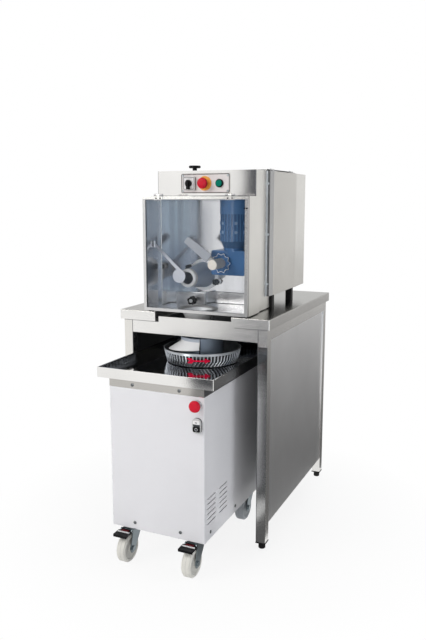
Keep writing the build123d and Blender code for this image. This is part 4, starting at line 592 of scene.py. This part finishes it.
def finish_knife():
    """Blade, paddle and hatch of dull sheet, and a beige hub with a paler end."""
    dress(sheet_steel("steel_blade", (0.36, 0.375, 0.405), 0.36, ALONG_X, 0.04), "knife_blade")
    dress(sheet_steel("steel_paddle", (0.55, 0.565, 0.605), 0.36, ALONG_X, 0.04), "sensor_paddle")
    dress(sheet_steel("steel_hatch", (0.60, 0.60, 0.61), 0.34, ALONG_X, 0.02), "hatch_plate")
    hub_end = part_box("knife_hub")[0].y + CAP
    zones = [zone((0.86, 0.80, 0.72), y=(-FAR, hub_end))]
    dress(coated("beige_nylon", (0.50, 0.49, 0.48), 0.42, 480.0, 0.10, 0.06, zones=zones), "knife_hub")


def finish_motors():
    """Blue machine paint, with painted shade between the fins of the knife's motor and a painted highlight
    on their tips.
    """
    colour = (0.047, 0.140, 0.315)
    blue = coated("blue_machine_paint", colour, 0.36, 260.0, 0.22, 0.18, coat=0.10, gloss=0.3)
    dress(blue, "knife_gearbox", "auger_gearmotor", "bowl_gearmotor")
    fin_foot, fin_tip = 49.5 * MM, 52 * MM
    dress(finned_paint("blue_fins", "knife_motor", fin_foot, fin_tip, (0.056, 0.135, 0.275)), "knife_motor")


# Controls, knobs and screws
RED = (0.60, 0.008, 0.028)


def finish_switch():
    """Main switch: pale plate with a dark printed border, and sides painted dark as shade."""
    low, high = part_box("switch_base")
    front = low.y + CAP
    zones = []
    for inset, tone in ((1.5 * MM, 0.26), (4.5 * MM, 0.80)):
        field_x = (low.x + inset, high.x - inset)
        field_z = (low.z + inset, high.z - inset)
        zones.append(zone((tone, tone * 0.985, tone), x=field_x, y=(-FAR, front), z=field_z))
    # painted shade on the sides
    zones.append(zone((0.10, 0.095, 0.095), y=(front, FAR)))
    dress(coated("pale_moulded", (0.80, 0.79, 0.80), 0.36, 800.0, 0.06, 0.02, zones=zones), "switch_base")


def finish_stops():
    """Red heads of both emergency stops, the upper one with its stem painted darker as the shade behind its
    head, and its yellow collar.
    """
    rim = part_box("estop_head")[0].y + 6 * MM
    # painted shade on the stem behind the head
    zones = [zone((0.20, 0.004, 0.008), y=(rim, FAR))]
    dress(coated("red_head", RED, 0.40, 700.0, 0.06, 0.06, gloss=0.2, zones=zones), "estop_head")
    dress(coated("red_moulded", RED, 0.40, 700.0, 0.06, 0.06, gloss=0.2), "cart_estop_head")
    dress(coated("yellow_moulded", (0.92, 0.41, 0.075), 0.42, 700.0, 0.06, 0.08, gloss=0.2), "estop_collar")


def finish_control_plate():
    """Plate with its printed outline, and the green start button on it."""
    inset, line, corner = 2 * MM, 2.6 * MM, 6 * MM
    border, ink, field = (0.56, 0.55, 0.53), (0.05, 0.035, 0.035), (0.76, 0.71, 0.71)
    plate = printed_plate("plate_print", "control_plate", inset, line, corner, border, ink, field)
    dress(plate, "control_plate")
    green = coated("green_moulded", (0.002, 0.190, 0.130), 0.46, 700.0, 0.06, 0.08, gloss=0.05)
    dress(green, "start_button")


def finish_star_knob():
    """Black knob with a pale cap."""
    zones = [zone((0.50, 0.51, 0.53), y=(-FAR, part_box("star_knob")[0].y + CAP))]
    star = coated("black_star", (0.008, 0.008, 0.009), 0.42, 800.0, 0.14, 0.25, gloss=0.12, zones=zones)
    dress(star, "star_knob")


def finish_zinc():
    """Zinc plate: bright on the divider's screws, dark on the cart's and dull on the castors' forks."""
    dress(sheet_steel("zinc_plate", (0.52, 0.55, 0.57), 0.30, ALL_WAYS, 0.08, 0.14), "housing_screws")
    dress(sheet_steel("zinc_dark", (0.17, 0.18, 0.185), 0.36, ALL_WAYS, 0.08, 0.14), "cart_screws")
    dull = sheet_steel("zinc_dull", (0.24, 0.28, 0.30), 0.34, ALL_WAYS, 0.08, 0.14)
    for end in ("front", "rear"):
        dress(dull, "castor_fork_%s_left" % end, "castor_fork_%s_right" % end)


# Rounder cart
BAND_H = 31 * MM
BOWL_WALL_H = 50 * MM
# the rear wheels' greyer colour is painted shade
WHEELS = {"front": (0.74, 0.73, 0.68), "rear": (0.44, 0.47, 0.50)}


def finish_cabinet():
    """White powder coat; the cabinet's inside is painted dark as shade, and shows through the slits."""
    low, high = corners("cabinet_shell", 1.2 * MM)
    # painted shade on the inside of the cabinet
    zones = [zone((0.012, 0.012, 0.014), x=(low.x, high.x), y=(low.y, high.y), z=(low.z, high.z))]
    white = ((0.78, 0.78, 0.81), 0.34, 700.0, 0.10, 0.015)
    dress(coated("white_powder_coat", *white, coat=0.3), "cart_base")
    dress(coated("white_shell", *white, coat=0.3, zones=zones), "cabinet_shell")


def finish_tray():
    """Polished tray with side walls painted darker as shade and reflection, and its band, painted dark on
    the right in the tray's shade.
    """
    low, high = corners("tray", SKIN)
    band = (0, low.z + BAND_H - 2 * SKIN)
    band_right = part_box("cabinet_shell")[1].x - 0.5 * MM
    inner_y, behind_front = (low.y, high.y), (low.y, FAR)
    above = (low.z, FAR)
    wall = 3 * MM
    zones = [
        zone(TRAY_STEEL, 0.09, x=(low.x, high.x), y=inner_y, z=above),
        # painted shade and reflection on the side walls; the last zone is painted shade on the band
        zone(RIM_SHADE_STEEL, 0.17, x=(high.x, FAR), y=behind_front, z=above),
        zone(RIM_SHADE_STEEL, 0.17, x=(-FAR, low.x), y=behind_front, z=above),
        zone(RIM_SHADE_STEEL, 0.06, x=(low.x, low.x + wall), y=inner_y, z=above),
        zone(BAND_STEEL, 0.06, z=band),
        zone(SHADE, 0.4, x=(band_right, FAR), z=band),
    ]
    dress(sheet_steel("steel_tray", PALE_STEEL, 0.06, ALONG_X, 0.02, zones=zones), "tray")


def finish_bowl():
    """Bright fluted bowl painted dark inside as shade, dull drum with a painted shadow line beside the
    guide, and white guide with its neck painted grey as shadow.
    """
    inner_top, inner_foot, wall = 138 * MM, 127 * MM, 7 * MM
    # the second colour is the bowl's inside, painted dark as shade
    bright, dull = (0.80, 0.84, 0.88), (0.22, 0.23, 0.24)
    dress(cast_bowl("alloy_bright", "bowl", BOWL_WALL_H, inner_top, inner_foot, wall, bright, dull), "bowl")
    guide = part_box("deflector")[1]
    line = (guide.x - 10 * MM, guide.x - 5 * MM)
    # painted shadow of the guide's edge on the drum
    zones = [zone((0.02, 0.022, 0.025), 0.5, x=line)]
    drum = sheet_steel("alloy_dull", (0.24, 0.29, 0.36), 0.48, ALONG_Z, 0.05, zones=zones, metal=0.5)
    dress(drum, "rounding_drum")
    neck_h = 11 * MM
    # painted shadow of the apron on the guide's neck
    zones = [zone((0.42, 0.46, 0.53), z=(guide.z - neck_h, FAR))]
    dress(coated("guide_nylon", (0.78, 0.79, 0.80), 0.42, 480.0, 0.10, 0.05, zones=zones), "deflector")


def finish_cart_buttons():
    """Twin button: grey housing with its back and sides painted dark as shade, and a dark strip between a
    white and a black button.
    """
    housing_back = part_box("cart_button_housing")[0].y + 2 * MM
    low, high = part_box("cart_start_button")
    stop_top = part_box("cart_stop_button")[1].z
    dark = (0.05, 0.055, 0.06)
    between = (stop_top - SKIN, low.z + SKIN)
    zones = [
        # painted shade on the housing's back and sides
        zone(dark, y=(housing_back, FAR)),
        zone((0.04, 0.045, 0.05), x=(low.x, high.x), z=between),
    ]
    housing = coated("twin_moulded", (0.56, 0.57, 0.57), 0.36, 800.0, 0.08, 0.04, zones=zones)
    dress(housing, "cart_button_housing")
    zones = [zone(dark, z=(0, low.z + 5 * MM))]
    button = coated("white_button", (0.84, 0.84, 0.85), 0.34, 700.0, 0.05, 0.02, zones=zones)
    dress(button, "cart_start_button")


def finish_wheels():
    """Nylon wheels; the rear ones are painted greyer as the shade under the cart and table."""
    for end, colour in WHEELS.items():
        for side in ("left", "right"):
            name = "castor_wheel_%s_%s" % (end, side)
            dress(moulded_wheel("nylon_" + name, name, colour), name)


finish_table_top()
finish_table_frame()
finish_table_panels()
finish_guard()
finish_body()
finish_cover()
finish_control_box()
finish_door()
finish_nozzle()
finish_funnel()
finish_hopper()
finish_knife()
finish_motors()
finish_switch()
finish_stops()
finish_control_plate()
finish_star_knob()
finish_zinc()
finish_cabinet()
finish_tray()
finish_bowl()
finish_cart_buttons()
finish_wheels()


# Small pieces that the scene adds
FRONT_WAY = (0, -1, 0)
ROOT = "table_and_divider"


def skin(bm, loops, wrap=False):
    """Surface through loops of equally many points, closed into a ring or capped at both ends."""
    rings = [[bm.verts.new(point) for point in loop] for loop in loops]
    pairs = list(zip(rings, rings[1:]))
    if wrap:
        pairs.append((rings[-1], rings[0]))
    for low, high in pairs:
        for here in range(len(low)):
            ahead = (here + 1) % len(low)
            bm.faces.new((low[here], low[ahead], high[ahead], high[here]))
    if not wrap:
        bm.faces.new(rings[0][::-1])
        bm.faces.new(rings[-1])


def piece(name, shapes, finish, body):
    """Object from closed shapes; it rides on a body and takes the finish it is given."""
    bm = bmesh.new()
    for loops, wrap in shapes:
        skin(bm, loops, wrap)
    bmesh.ops.recalc_face_normals(bm, faces=bm.faces)
    mesh = bpy.data.meshes.new(name)
    bm.to_mesh(mesh)
    bm.free()
    mesh.shade_smooth()
    mesh.set_sharp_from_angle(angle=math.radians(35))
    mesh.materials.append(finish)
    made = bpy.data.objects.new(name, mesh)
    bpy.context.scene.collection.objects.link(made)
    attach(made, body)


def turned(place, axis, profile, steps=16):
    """Closed lathe shape about an axis; the profile lists heights and radii in millimetres."""
    axis = Vector(axis).normalized()
    side = axis.orthogonal().normalized()
    other = axis.cross(side)
    loops = []
    for height, radius in profile:
        loop = []
        for step in range(steps):
            turn = 2 * math.pi * step / steps
            way = side * math.cos(turn) + other * math.sin(turn)
            loop.append(Vector(place) + axis * (height * MM) + way * (radius * MM))
        loops.append(loop)
    return loops, False


def bar(start, end, section):
    """Straight bar along y with a section of x and z points."""
    return [[Vector((x, y, z)) for x, z in section] for y in (start, end)], False


def rounded(width, height, radius, steps=4):
    """Outline of a rounded rectangle about its middle."""
    outline = []
    for quarter, (a, b) in enumerate(((1, 1), (-1, 1), (-1, -1), (1, -1))):
        for step in range(steps + 1):
            turn = math.pi / 2 * (quarter + step / steps)
            across = a * (width / 2 - radius) + radius * math.cos(turn)
            up = b * (height / 2 - radius) + radius * math.sin(turn)
            outline.append((across, up))
    return outline


def front_plate(x, y, z, width, height, radius, thick):
    """Small rounded plate that faces the front and stands proud of the face at y, with a chamfered edge."""
    edge = thick / 2
    loops = []
    for out, inset in ((0.0, 0.0), (thick - edge, 0.0), (thick, edge)):
        outline = rounded(width - 2 * inset, height - 2 * inset, radius - inset)
        loops.append([Vector((x + a, y - out, z + b)) for a, b in outline])
    return loops, False


def front_ring(x, y, z, radius, width, thick, steps=32):
    """Flat ring that faces the front, with a raised round section."""
    section = [(-width / 2, 0), (-width / 4, thick), (width / 4, thick), (width / 2, 0)]
    loops = []
    for step in range(steps):
        turn = 2 * math.pi * step / steps
        way = Vector((math.cos(turn), 0, math.sin(turn)))
        middle = Vector((x, y, z)) + way * radius
        loops.append([middle + way * a + Vector((0, -b, 0)) for a, b in section])
    return loops, True


def make_lid_trim_and_shade():
    """Dark edging along the lid's hinge side, between and beyond its hinges: a trim that also paints the
    shadow in the gap under the lid's edge.
    """
    low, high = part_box("hopper_lid")
    edge, lip, reach, wall, slack = 8.3 * MM, 4.5 * MM, 1.4 * MM, 0.8 * MM, 0.1 * MM
    right = high.x - edge
    inner, outer = right - lip, right + reach
    bottom, top = low.z + 2.0 * MM, low.z + 5.0 * MM
    section = [
        (inner, bottom - wall),
        (outer - wall, bottom - wall),
        (outer, bottom),
        (outer, top),
        (outer - wall, top + wall),
        (inner, top + wall),
        (inner, top + slack),
        (right + slack, top + slack),
        (right + slack, bottom - slack),
        (inner, bottom - slack),
    ]
    hinge_in, hinge_half, corner = 45 * MM, 20 * MM, 6 * MM
    spans = [
        (low.y + corner, low.y + hinge_in - hinge_half),
        (low.y + hinge_in + hinge_half, high.y - hinge_in - hinge_half),
        (high.y - hinge_in + hinge_half, high.y - corner),
    ]
    bars = [bar(start, end, section) for start, end in spans]
    piece("lid_trim_and_shade", bars, black_rubber, "lid")


def make_door_bolts():
    """Latch bolts on the door's right bar, and the dark screws of its two hinge leaves."""
    low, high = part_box("door_frame")
    face, latch_z, screw_z = low.y + 3 * MM, high.z - 50 * MM, high.z - 15.5 * MM
    bolt = [(0, 3.0), (1.6, 3.0), (2.4, 2.2), (2.4, 1.0), (1.2, 0.9)]
    bolts = []
    for inset in (11.5 * MM, 4.0 * MM):
        bolts.append(turned((high.x - inset, face, latch_z), FRONT_WAY, bolt))
    piece("door_latch_bolts", bolts, black_moulded, "door")
    head = [(0, 2.6), (0.5, 2.6), (0.9, 1.9), (0.5, 0.8)]
    middle = (low.x + high.x) / 2
    screws = []
    for leaf in (-140 * MM, 140 * MM):
        for offset in (-8.2 * MM, 8.2 * MM):
            screws.append(turned((middle + leaf + offset, low.y, screw_z), FRONT_WAY, head))
    piece("door_hinge_screws", screws, black_moulded, "door")


def make_flange_rim():
    """Bright bead along the scalloped edge of the knife shaft's flange: a painted highlight on that edge."""
    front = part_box("knife_gearbox")[0].y
    knife_at = joints["knife_turn"]["pos_m"]
    axis = Vector((knife_at[0], front, knife_at[2]))
    lobes, radius, notch, bead, inset = 10, 37 * MM, 11 * MM, 1.3 * MM, 0.6 * MM
    notch_at = radius + notch / 2
    pitch = 2 * math.pi / lobes
    steps, sides = 160, 6
    loops = []
    for step in range(steps):
        turn = 2 * math.pi * step / steps
        off = (turn % pitch) - pitch / 2
        across = notch_at * math.sin(off)
        reach = radius
        if abs(across) < notch:
            reach = min(radius, notch_at * math.cos(off) - math.sqrt(notch ** 2 - across ** 2))
        way = Vector((math.cos(turn), 0, math.sin(turn)))
        centre = axis + way * (reach - inset)
        section = []
        for corner in range(sides):
            spin = 2 * math.pi * corner / sides
            section.append(centre + way * (bead * math.cos(spin)) + Vector((0, bead * math.sin(spin), 0)))
        loops.append(section)
    piece("flange_rim", [(loops, True)], flange_highlight_steel, ROOT)


def make_bowl_arrow():
    """Red arrow on the bowl's flutes that shows which way it turns."""
    low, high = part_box("bowl")
    centre = (low + high) / 2
    rim_r, foot_r, film = 145.4 * MM, 134.4 * MM, 0.5 * MM
    bottom = high.z - BOWL_WALL_H
    at_z = bottom + BOWL_WALL_H / 2
    facing = math.radians(-70)

    def column(s, z_low, z_high):
        """Cross-section of the film at a distance along the arrow."""
        turn = facing + s / rim_r
        points = []
        for z, lift in ((z_low, 0), (z_low, film), (z_high, film), (z_high, 0)):
            radius = foot_r + (rim_r - foot_r) * (at_z + z - bottom) / BOWL_WALL_H + lift
            x = centre.x + radius * math.cos(turn)
            y = centre.y + radius * math.sin(turn)
            points.append(Vector((x, y, at_z + z)))
        return points

    def strip(stations):
        """Film through stations of distance, lower edge and upper edge, in millimetres."""
        return [column(s * MM, a * MM, b * MM) for s, a, b in stations], False

    shaft = [(s, -3.2, 3.2) for s in range(-36, 25, 4)]
    head = [(s, -10 * (44 - s) / 22, 10 * (44 - s) / 22) for s in range(22, 44, 3)]
    head.append((43.6, -0.2, 0.2))
    upper = [(s, max(0.2, -0.8 * (s + 36)), 10 - max(0, (s + 28) * 0.8)) for s in range(-44, -21, 2)]
    lower = [(s, -b, -a) for s, a, b in upper]
    strips = [strip(part) for part in (shaft, head, upper, lower)]
    piece("bowl_arrow", strips, red_film, "bowl")


def make_button_marks():
    """Dash on the cart's start button and ring on its stop button."""
    thick = 0.5 * MM
    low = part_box("cart_start_button")[0]
    at = middle_of("cart_start_button")
    dash = front_plate(at.x, low.y, at.z + 2 * MM, 8 * MM, 2.4 * MM, 0.9 * MM, thick)
    piece("start_dash", [dash], black_moulded, "cart_start")
    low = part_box("cart_stop_button")[0]
    at = middle_of("cart_stop_button")
    ring = front_ring(at.x, low.y, at.z, 4.6 * MM, 1.8 * MM, thick)
    piece("stop_ring", [ring], grey_moulded, "cart_stop")


def make_pedal_marks(side):
    """Pale tread strip and dark red release pad on top of a brake pedal."""
    low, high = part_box("brake_pedal_" + side)
    x = (low.x + high.x) / 2

    def pad(start, end, half, rise):
        edge = rise / 2
        left_edge = [(-half, 0), (-half, edge), (-half + edge, rise)]
        right_edge = [(half - edge, rise), (half, edge), (half, 0)]
        section = [(x + a, high.z + b) for a, b in left_edge + right_edge]
        return bar(low.y + start, low.y + end, section)

    strip = pad(22 * MM, 28 * MM, 24 * MM, 1.6 * MM)
    piece("pedal_strip_" + side, [strip], white_moulded, "pedal_" + side)
    release = pad(29.5 * MM, 40 * MM, 15 * MM, 2.4 * MM)
    piece("pedal_release_" + side, [release], maroon_moulded, "pedal_" + side)


def make_motor_bosses():
    """Pale round pads with a sunk middle on the bosses between the motor's fins; their pale colour is a
    painted highlight on the bosses.
    """
    low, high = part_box("knife_motor")
    axis = (low + high) / 2
    bell_h, cowl_l, boss_r = 26 * MM, 58 * MM, 52.5 * MM
    fins_low, fins_high = low.z + bell_h, high.z - cowl_l
    pad = [(0, 5.4), (0.9, 5.0), (0.9, 3.0), (0.3, 2.6)]
    pads = []
    for angle in (-20, -60, -120, -160):
        way = Vector((math.cos(math.radians(angle)), math.sin(math.radians(angle)), 0))
        for share in (1 / 3, 2 / 3):
            at = Vector((axis.x, axis.y, fins_low + share * (fins_high - fins_low))) + way * boss_r
            pads.append(turned(at, way, pad))
    piece("motor_boss_pads", pads, blue_pale, ROOT)


make_lid_trim_and_shade()
make_door_bolts()
make_flange_rim()
make_bowl_arrow()
make_button_marks()
make_motor_bosses()
for side in ("left", "right"):
    make_pedal_marks(side)


# Stage
FLOOR_HALF = 14.0
FLOOR_WHITE = (0.86, 1.0)
FLOOR_FADE = (0.35, 0.95)


def make_camera():
    azimuth = math.radians(CAMERA_AZIMUTH)
    dip = math.radians(CAMERA_DIP)
    ahead = Vector((-math.sin(azimuth) * math.cos(dip), math.cos(azimuth) * math.cos(dip), -math.sin(dip)))
    data = bpy.data.cameras.new("camera")
    data.sensor_width = SENSOR
    data.lens = FOCAL_PIXELS / IMAGE_H * SENSOR
    data.shift_x = SHIFT_X
    data.shift_y = SHIFT_Y
    camera = bpy.data.objects.new("camera", data)
    camera.location = CAMERA_AT
    camera.rotation_mode = "QUATERNION"
    camera.rotation_quaternion = ahead.to_track_quat("-Z", "Y")
    bpy.context.scene.collection.objects.link(camera)
    bpy.context.scene.camera = camera


def area_lamp(name, place, target, width, power, colour):
    data = bpy.data.lights.new(name, "AREA")
    data.shape = "DISK"
    data.size = width
    data.energy = power
    data.color = colour
    lamp = bpy.data.objects.new(name, data)
    lamp.location = place
    lamp.rotation_mode = "QUATERNION"
    lamp.rotation_quaternion = (Vector(target) - Vector(place)).to_track_quat("-Z", "Y")
    lamp.visible_glossy = name != UNMIRRORED_LAMP
    bpy.context.scene.collection.objects.link(lamp)


def make_world():
    """White all round for what the camera and mirrors see, and a plain level for diffuse light."""
    world = bpy.data.worlds.new("studio")
    world.use_nodes = True
    bpy.context.scene.world = world
    tree = world.node_tree
    tree.nodes.clear()
    path = tree.nodes.new("ShaderNodeLightPath")
    seen = path.outputs["Is Camera Ray"]
    for ray in ("Is Glossy Ray", "Is Transmission Ray"):
        either = tree.nodes.new("ShaderNodeMath")
        either.operation = "MAXIMUM"
        tree.links.new(seen, either.inputs[0])
        tree.links.new(path.outputs[ray], either.inputs[1])
        seen = either.outputs[0]
    mix = tree.nodes.new("ShaderNodeMixShader")
    tree.links.new(seen, mix.inputs[0])
    levels = (((0.97, 0.98, 1.0, 1), SKY_DIFFUSE), ((1, 1, 1, 1), 1.0))
    for socket, (colour, strength) in enumerate(levels, start=1):
        sky = tree.nodes.new("ShaderNodeBackground")
        sky.inputs["Color"].default_value = colour
        sky.inputs["Strength"].default_value = strength
        tree.links.new(sky.outputs[0], mix.inputs[socket])
    out = tree.nodes.new("ShaderNodeOutputWorld")
    tree.links.new(mix.outputs[0], out.inputs["Surface"])


def make_floor():
    """Pale floor that takes a faint shadow of the object and fades to plain white away from it."""
    mesh = bpy.data.meshes.new("floor")
    half = FLOOR_HALF
    outline = [(-half, -half, 0), (half, -half, 0), (half, half, 0), (-half, half, 0)]
    mesh.from_pydata(outline, [], [(0, 1, 2, 3)])
    floor = bpy.data.objects.new("floor", mesh)
    bpy.context.scene.collection.objects.link(floor)
    paint = Shader("floor_paint", Base_Color=(0.86, 0.86, 0.86, 1), Roughness=0.9, Specular_IOR_Level=0.1)
    glow = paint.node("ShaderNodeEmission")
    glow.inputs["Color"].default_value = (1, 1, 1, 1)
    fade = paint.span(paint.vector("LENGTH", paint.place), *FLOOR_WHITE, *FLOOR_FADE)
    path = paint.node("ShaderNodeLightPath").outputs
    mirrored = paint.math("MAXIMUM", path["Is Glossy Ray"], path["Is Transmission Ray"])
    seen = paint.math("MAXIMUM", path["Is Camera Ray"], mirrored)
    white = paint.math("MULTIPLY", fade, seen)
    mix = paint.node("ShaderNodeMixShader", {0: white, 1: paint.surface.outputs[0], 2: glow.outputs[0]})
    paint.link(mix.outputs[0], paint.output.inputs["Surface"])
    mesh.materials.append(paint.material)


def studio_card(name, outline, colour, near=None, far=None):
    """Card that only mirror-like surfaces see; near and far give a distance and the brightness there."""
    mesh = bpy.data.meshes.new(name)
    mesh.from_pydata(outline, [], [tuple(range(len(outline)))])
    card = bpy.data.objects.new(name, mesh)
    bpy.context.scene.collection.objects.link(card)
    card.visible_camera = False
    card.visible_diffuse = False
    card.visible_shadow = False
    card.visible_transmission = False
    card.visible_volume_scatter = False
    paint = Shader(name + "_paint")
    paint.tree.nodes.remove(paint.surface)
    glow = paint.node("ShaderNodeEmission")
    glow.inputs["Color"].default_value = (*colour, 1)
    if near:
        reach = paint.vector("LENGTH", paint.place)
        paint.link(paint.span(reach, near[1], far[1], near[0], far[0]), glow.inputs["Strength"])
    paint.link(glow.outputs[0], paint.output.inputs["Surface"])
    mesh.materials.append(paint.material)


# Grey cards that give the steel the studio's darker sides; mirror-like surfaces show them as streaks
CARD_Y = -2.75
CARD_TOP = 2.4
ROOF_Z = 1.75
ROOF_TOP = 3.6
FLOOR_CARD_Z = 0.004
FLOOR_CARD_END = 13.5
DARK = (0.03, 0.033, 0.036)
NIGHT = (0.030, 0.033, 0.045)
COOL_WHITE = (0.99, 0.995, 1.0)
REAR_GLOW = ((0.8, 0.32), (6.0, 0.78))
SIDE_GLOW = ((1.0, 0.13), (7.7, 0.61))

# Upright cards in front: left, right, bottom, top and colour
FRONT_CARDS = {
    "front_top": (-0.875, -0.40, 1.30, ROOF_Z, NIGHT),
    "front_high": (-0.92, -0.40, 1.05, 1.30, NIGHT),
    "front_middle": (-0.93, -0.36, 0.34, 1.05, (0.20, 0.205, 0.22)),
    "front_low": (-0.96, -0.30, 0.10, 0.34, (0.05, 0.052, 0.06)),
    "front_foot": (-0.99, -0.30, 0.0, 0.10, (0.04, 0.042, 0.05)),
    "roof_left": (-2.6, -1.85, ROOF_Z, ROOF_TOP, DARK),
    "roof_middle": (-0.35, 0.62, ROOF_Z, ROOF_TOP, DARK),
    "roof_right": (0.62, 3.6, CARD_TOP, ROOF_TOP, DARK),
    "wing_right": (1.9, 3.6, 1.3, CARD_TOP, (0.04, 0.044, 0.05)),
    "edge_left": (-1.43, -1.335, 0.5, 1.22, (0.34, 0.37, 0.43)),
}

# Row of cards at the right of the front, from right to left, with their levels and lower ends
DUSK_EDGES = (1.85, 1.406, 1.375, 1.295, 1.22, 1.145, 1.105, 1.055, 0.62)
DUSK_LEVELS = (0.34, 0.50, 0.90, 0.30, 0.12, 1.00, 0.30, 0.45)
DUSK_LOWS = (0.0, 0.6, 0.85, 0.0, 0.0, 0.95, 0.0, 0.0)
DUSK_TINT = (0.80, 1.00, 1.28)
DUSK_LOW_LEVEL = 0.34

# Slanting strips on the floor in front: corners in x and y, and colour
FLOOR_STRIPS = {
    "card_floor_front": (
        [(-0.10, -0.62), (0.55, -0.62), (-0.05, -2.2), (-0.75, -2.2)],
        (0.10, 0.103, 0.11),
    ),
    "card_floor_near": (
        [(0.18, -0.62), (0.18, -0.2), (0.6, -0.2), (0.6, -0.62)],
        (0.16, 0.16, 0.16),
    ),
    "card_floor_far": (
        [(-0.75, -2.2), (-0.05, -2.2), (-0.22, -2.66), (-0.92, -2.66)],
        (0.44, 0.443, 0.45),
    ),
    "card_floor_foot": (
        [(-0.92, -2.66), (-0.22, -2.66), (-0.25, CARD_Y), (-0.97, CARD_Y)],
        (0.05, 0.052, 0.06),
    ),
}


def across_card(name, x, y, z, *looks):
    """Rectangular card that faces along y."""
    studio_card(name, [(x[0], y, z[0]), (x[1], y, z[0]), (x[1], y, z[1]), (x[0], y, z[1])], *looks)


def side_card(name, x, y, z, *looks):
    """Rectangular card that faces along x."""
    studio_card(name, [(x, y[0], z[0]), (x, y[1], z[0]), (x, y[1], z[1]), (x, y[0], z[1])], *looks)


def level_card(name, x, y, z, *looks):
    """Rectangular card that faces up or down."""
    studio_card(name, [(x[0], y[0], z), (x[1], y[0], z), (x[1], y[1], z), (x[0], y[1], z)], *looks)


def make_front_cards():
    for name, (left, right, bottom, top, colour) in FRONT_CARDS.items():
        across_card(name, (left, right), CARD_Y, (bottom, top), colour)
    ends = zip(DUSK_EDGES, DUSK_EDGES[1:])
    for number, ((right, left), level, low) in enumerate(zip(ends, DUSK_LEVELS, DUSK_LOWS)):
        across_card("dusk_%d" % number, (left, right), CARD_Y, (low, CARD_TOP), scaled(DUSK_TINT, level))
        if low:
            low_tint = scaled(DUSK_TINT, DUSK_LOW_LEVEL)
            across_card("dusk_low_%d" % number, (left, right), CARD_Y, (0.0, low), low_tint)


def make_floor_cards():
    for name, (outline, colour) in FLOOR_STRIPS.items():
        studio_card(name, [(x, y, FLOOR_CARD_Z) for x, y in outline], colour)
    gap, far = 0.32, FLOOR_CARD_END
    level_card("card_floor_side", (gap, far), (-0.4, far), FLOOR_CARD_Z, (1.0, 0.99, 0.98), *SIDE_GLOW)
    level_card("card_floor_left", (-far, -gap), (-0.8, far), FLOOR_CARD_Z, COOL_WHITE, *REAR_GLOW)
    level_card("card_floor_rear", (-gap, gap), (0.6, far), FLOOR_CARD_Z, COOL_WHITE, *REAR_GLOW)


def make_room_cards():
    side_x, above_z, above_half = 2.6, 3.9, 2.2
    side_card("card_left", -side_x, (CARD_Y, 0.0), (0.9, 3.4), DARK)
    side_card("card_right", side_x, (-1.2, 2.2), (0.0, 2.8), (1.0, 0.995, 0.985), (2.6, 0.50), (3.6, 0.86))
    span = (-above_half, above_half)
    level_card("card_above", span, span, above_z, (0.985, 0.99, 1.0), (3.9, 0.40), (4.9, 0.66))
    across_card("card_back_right", (3.85, FLOOR_CARD_END), 13.4, (0, 5), (0.56, 0.555, 0.55))


make_camera()
make_world()
make_floor()
make_front_cards()
make_floor_cards()
make_room_cards()
for name, lamp in LAMPS.items():
    area_lamp(name, *lamp)

bpy.context.scene.view_settings.view_transform = "Standard"
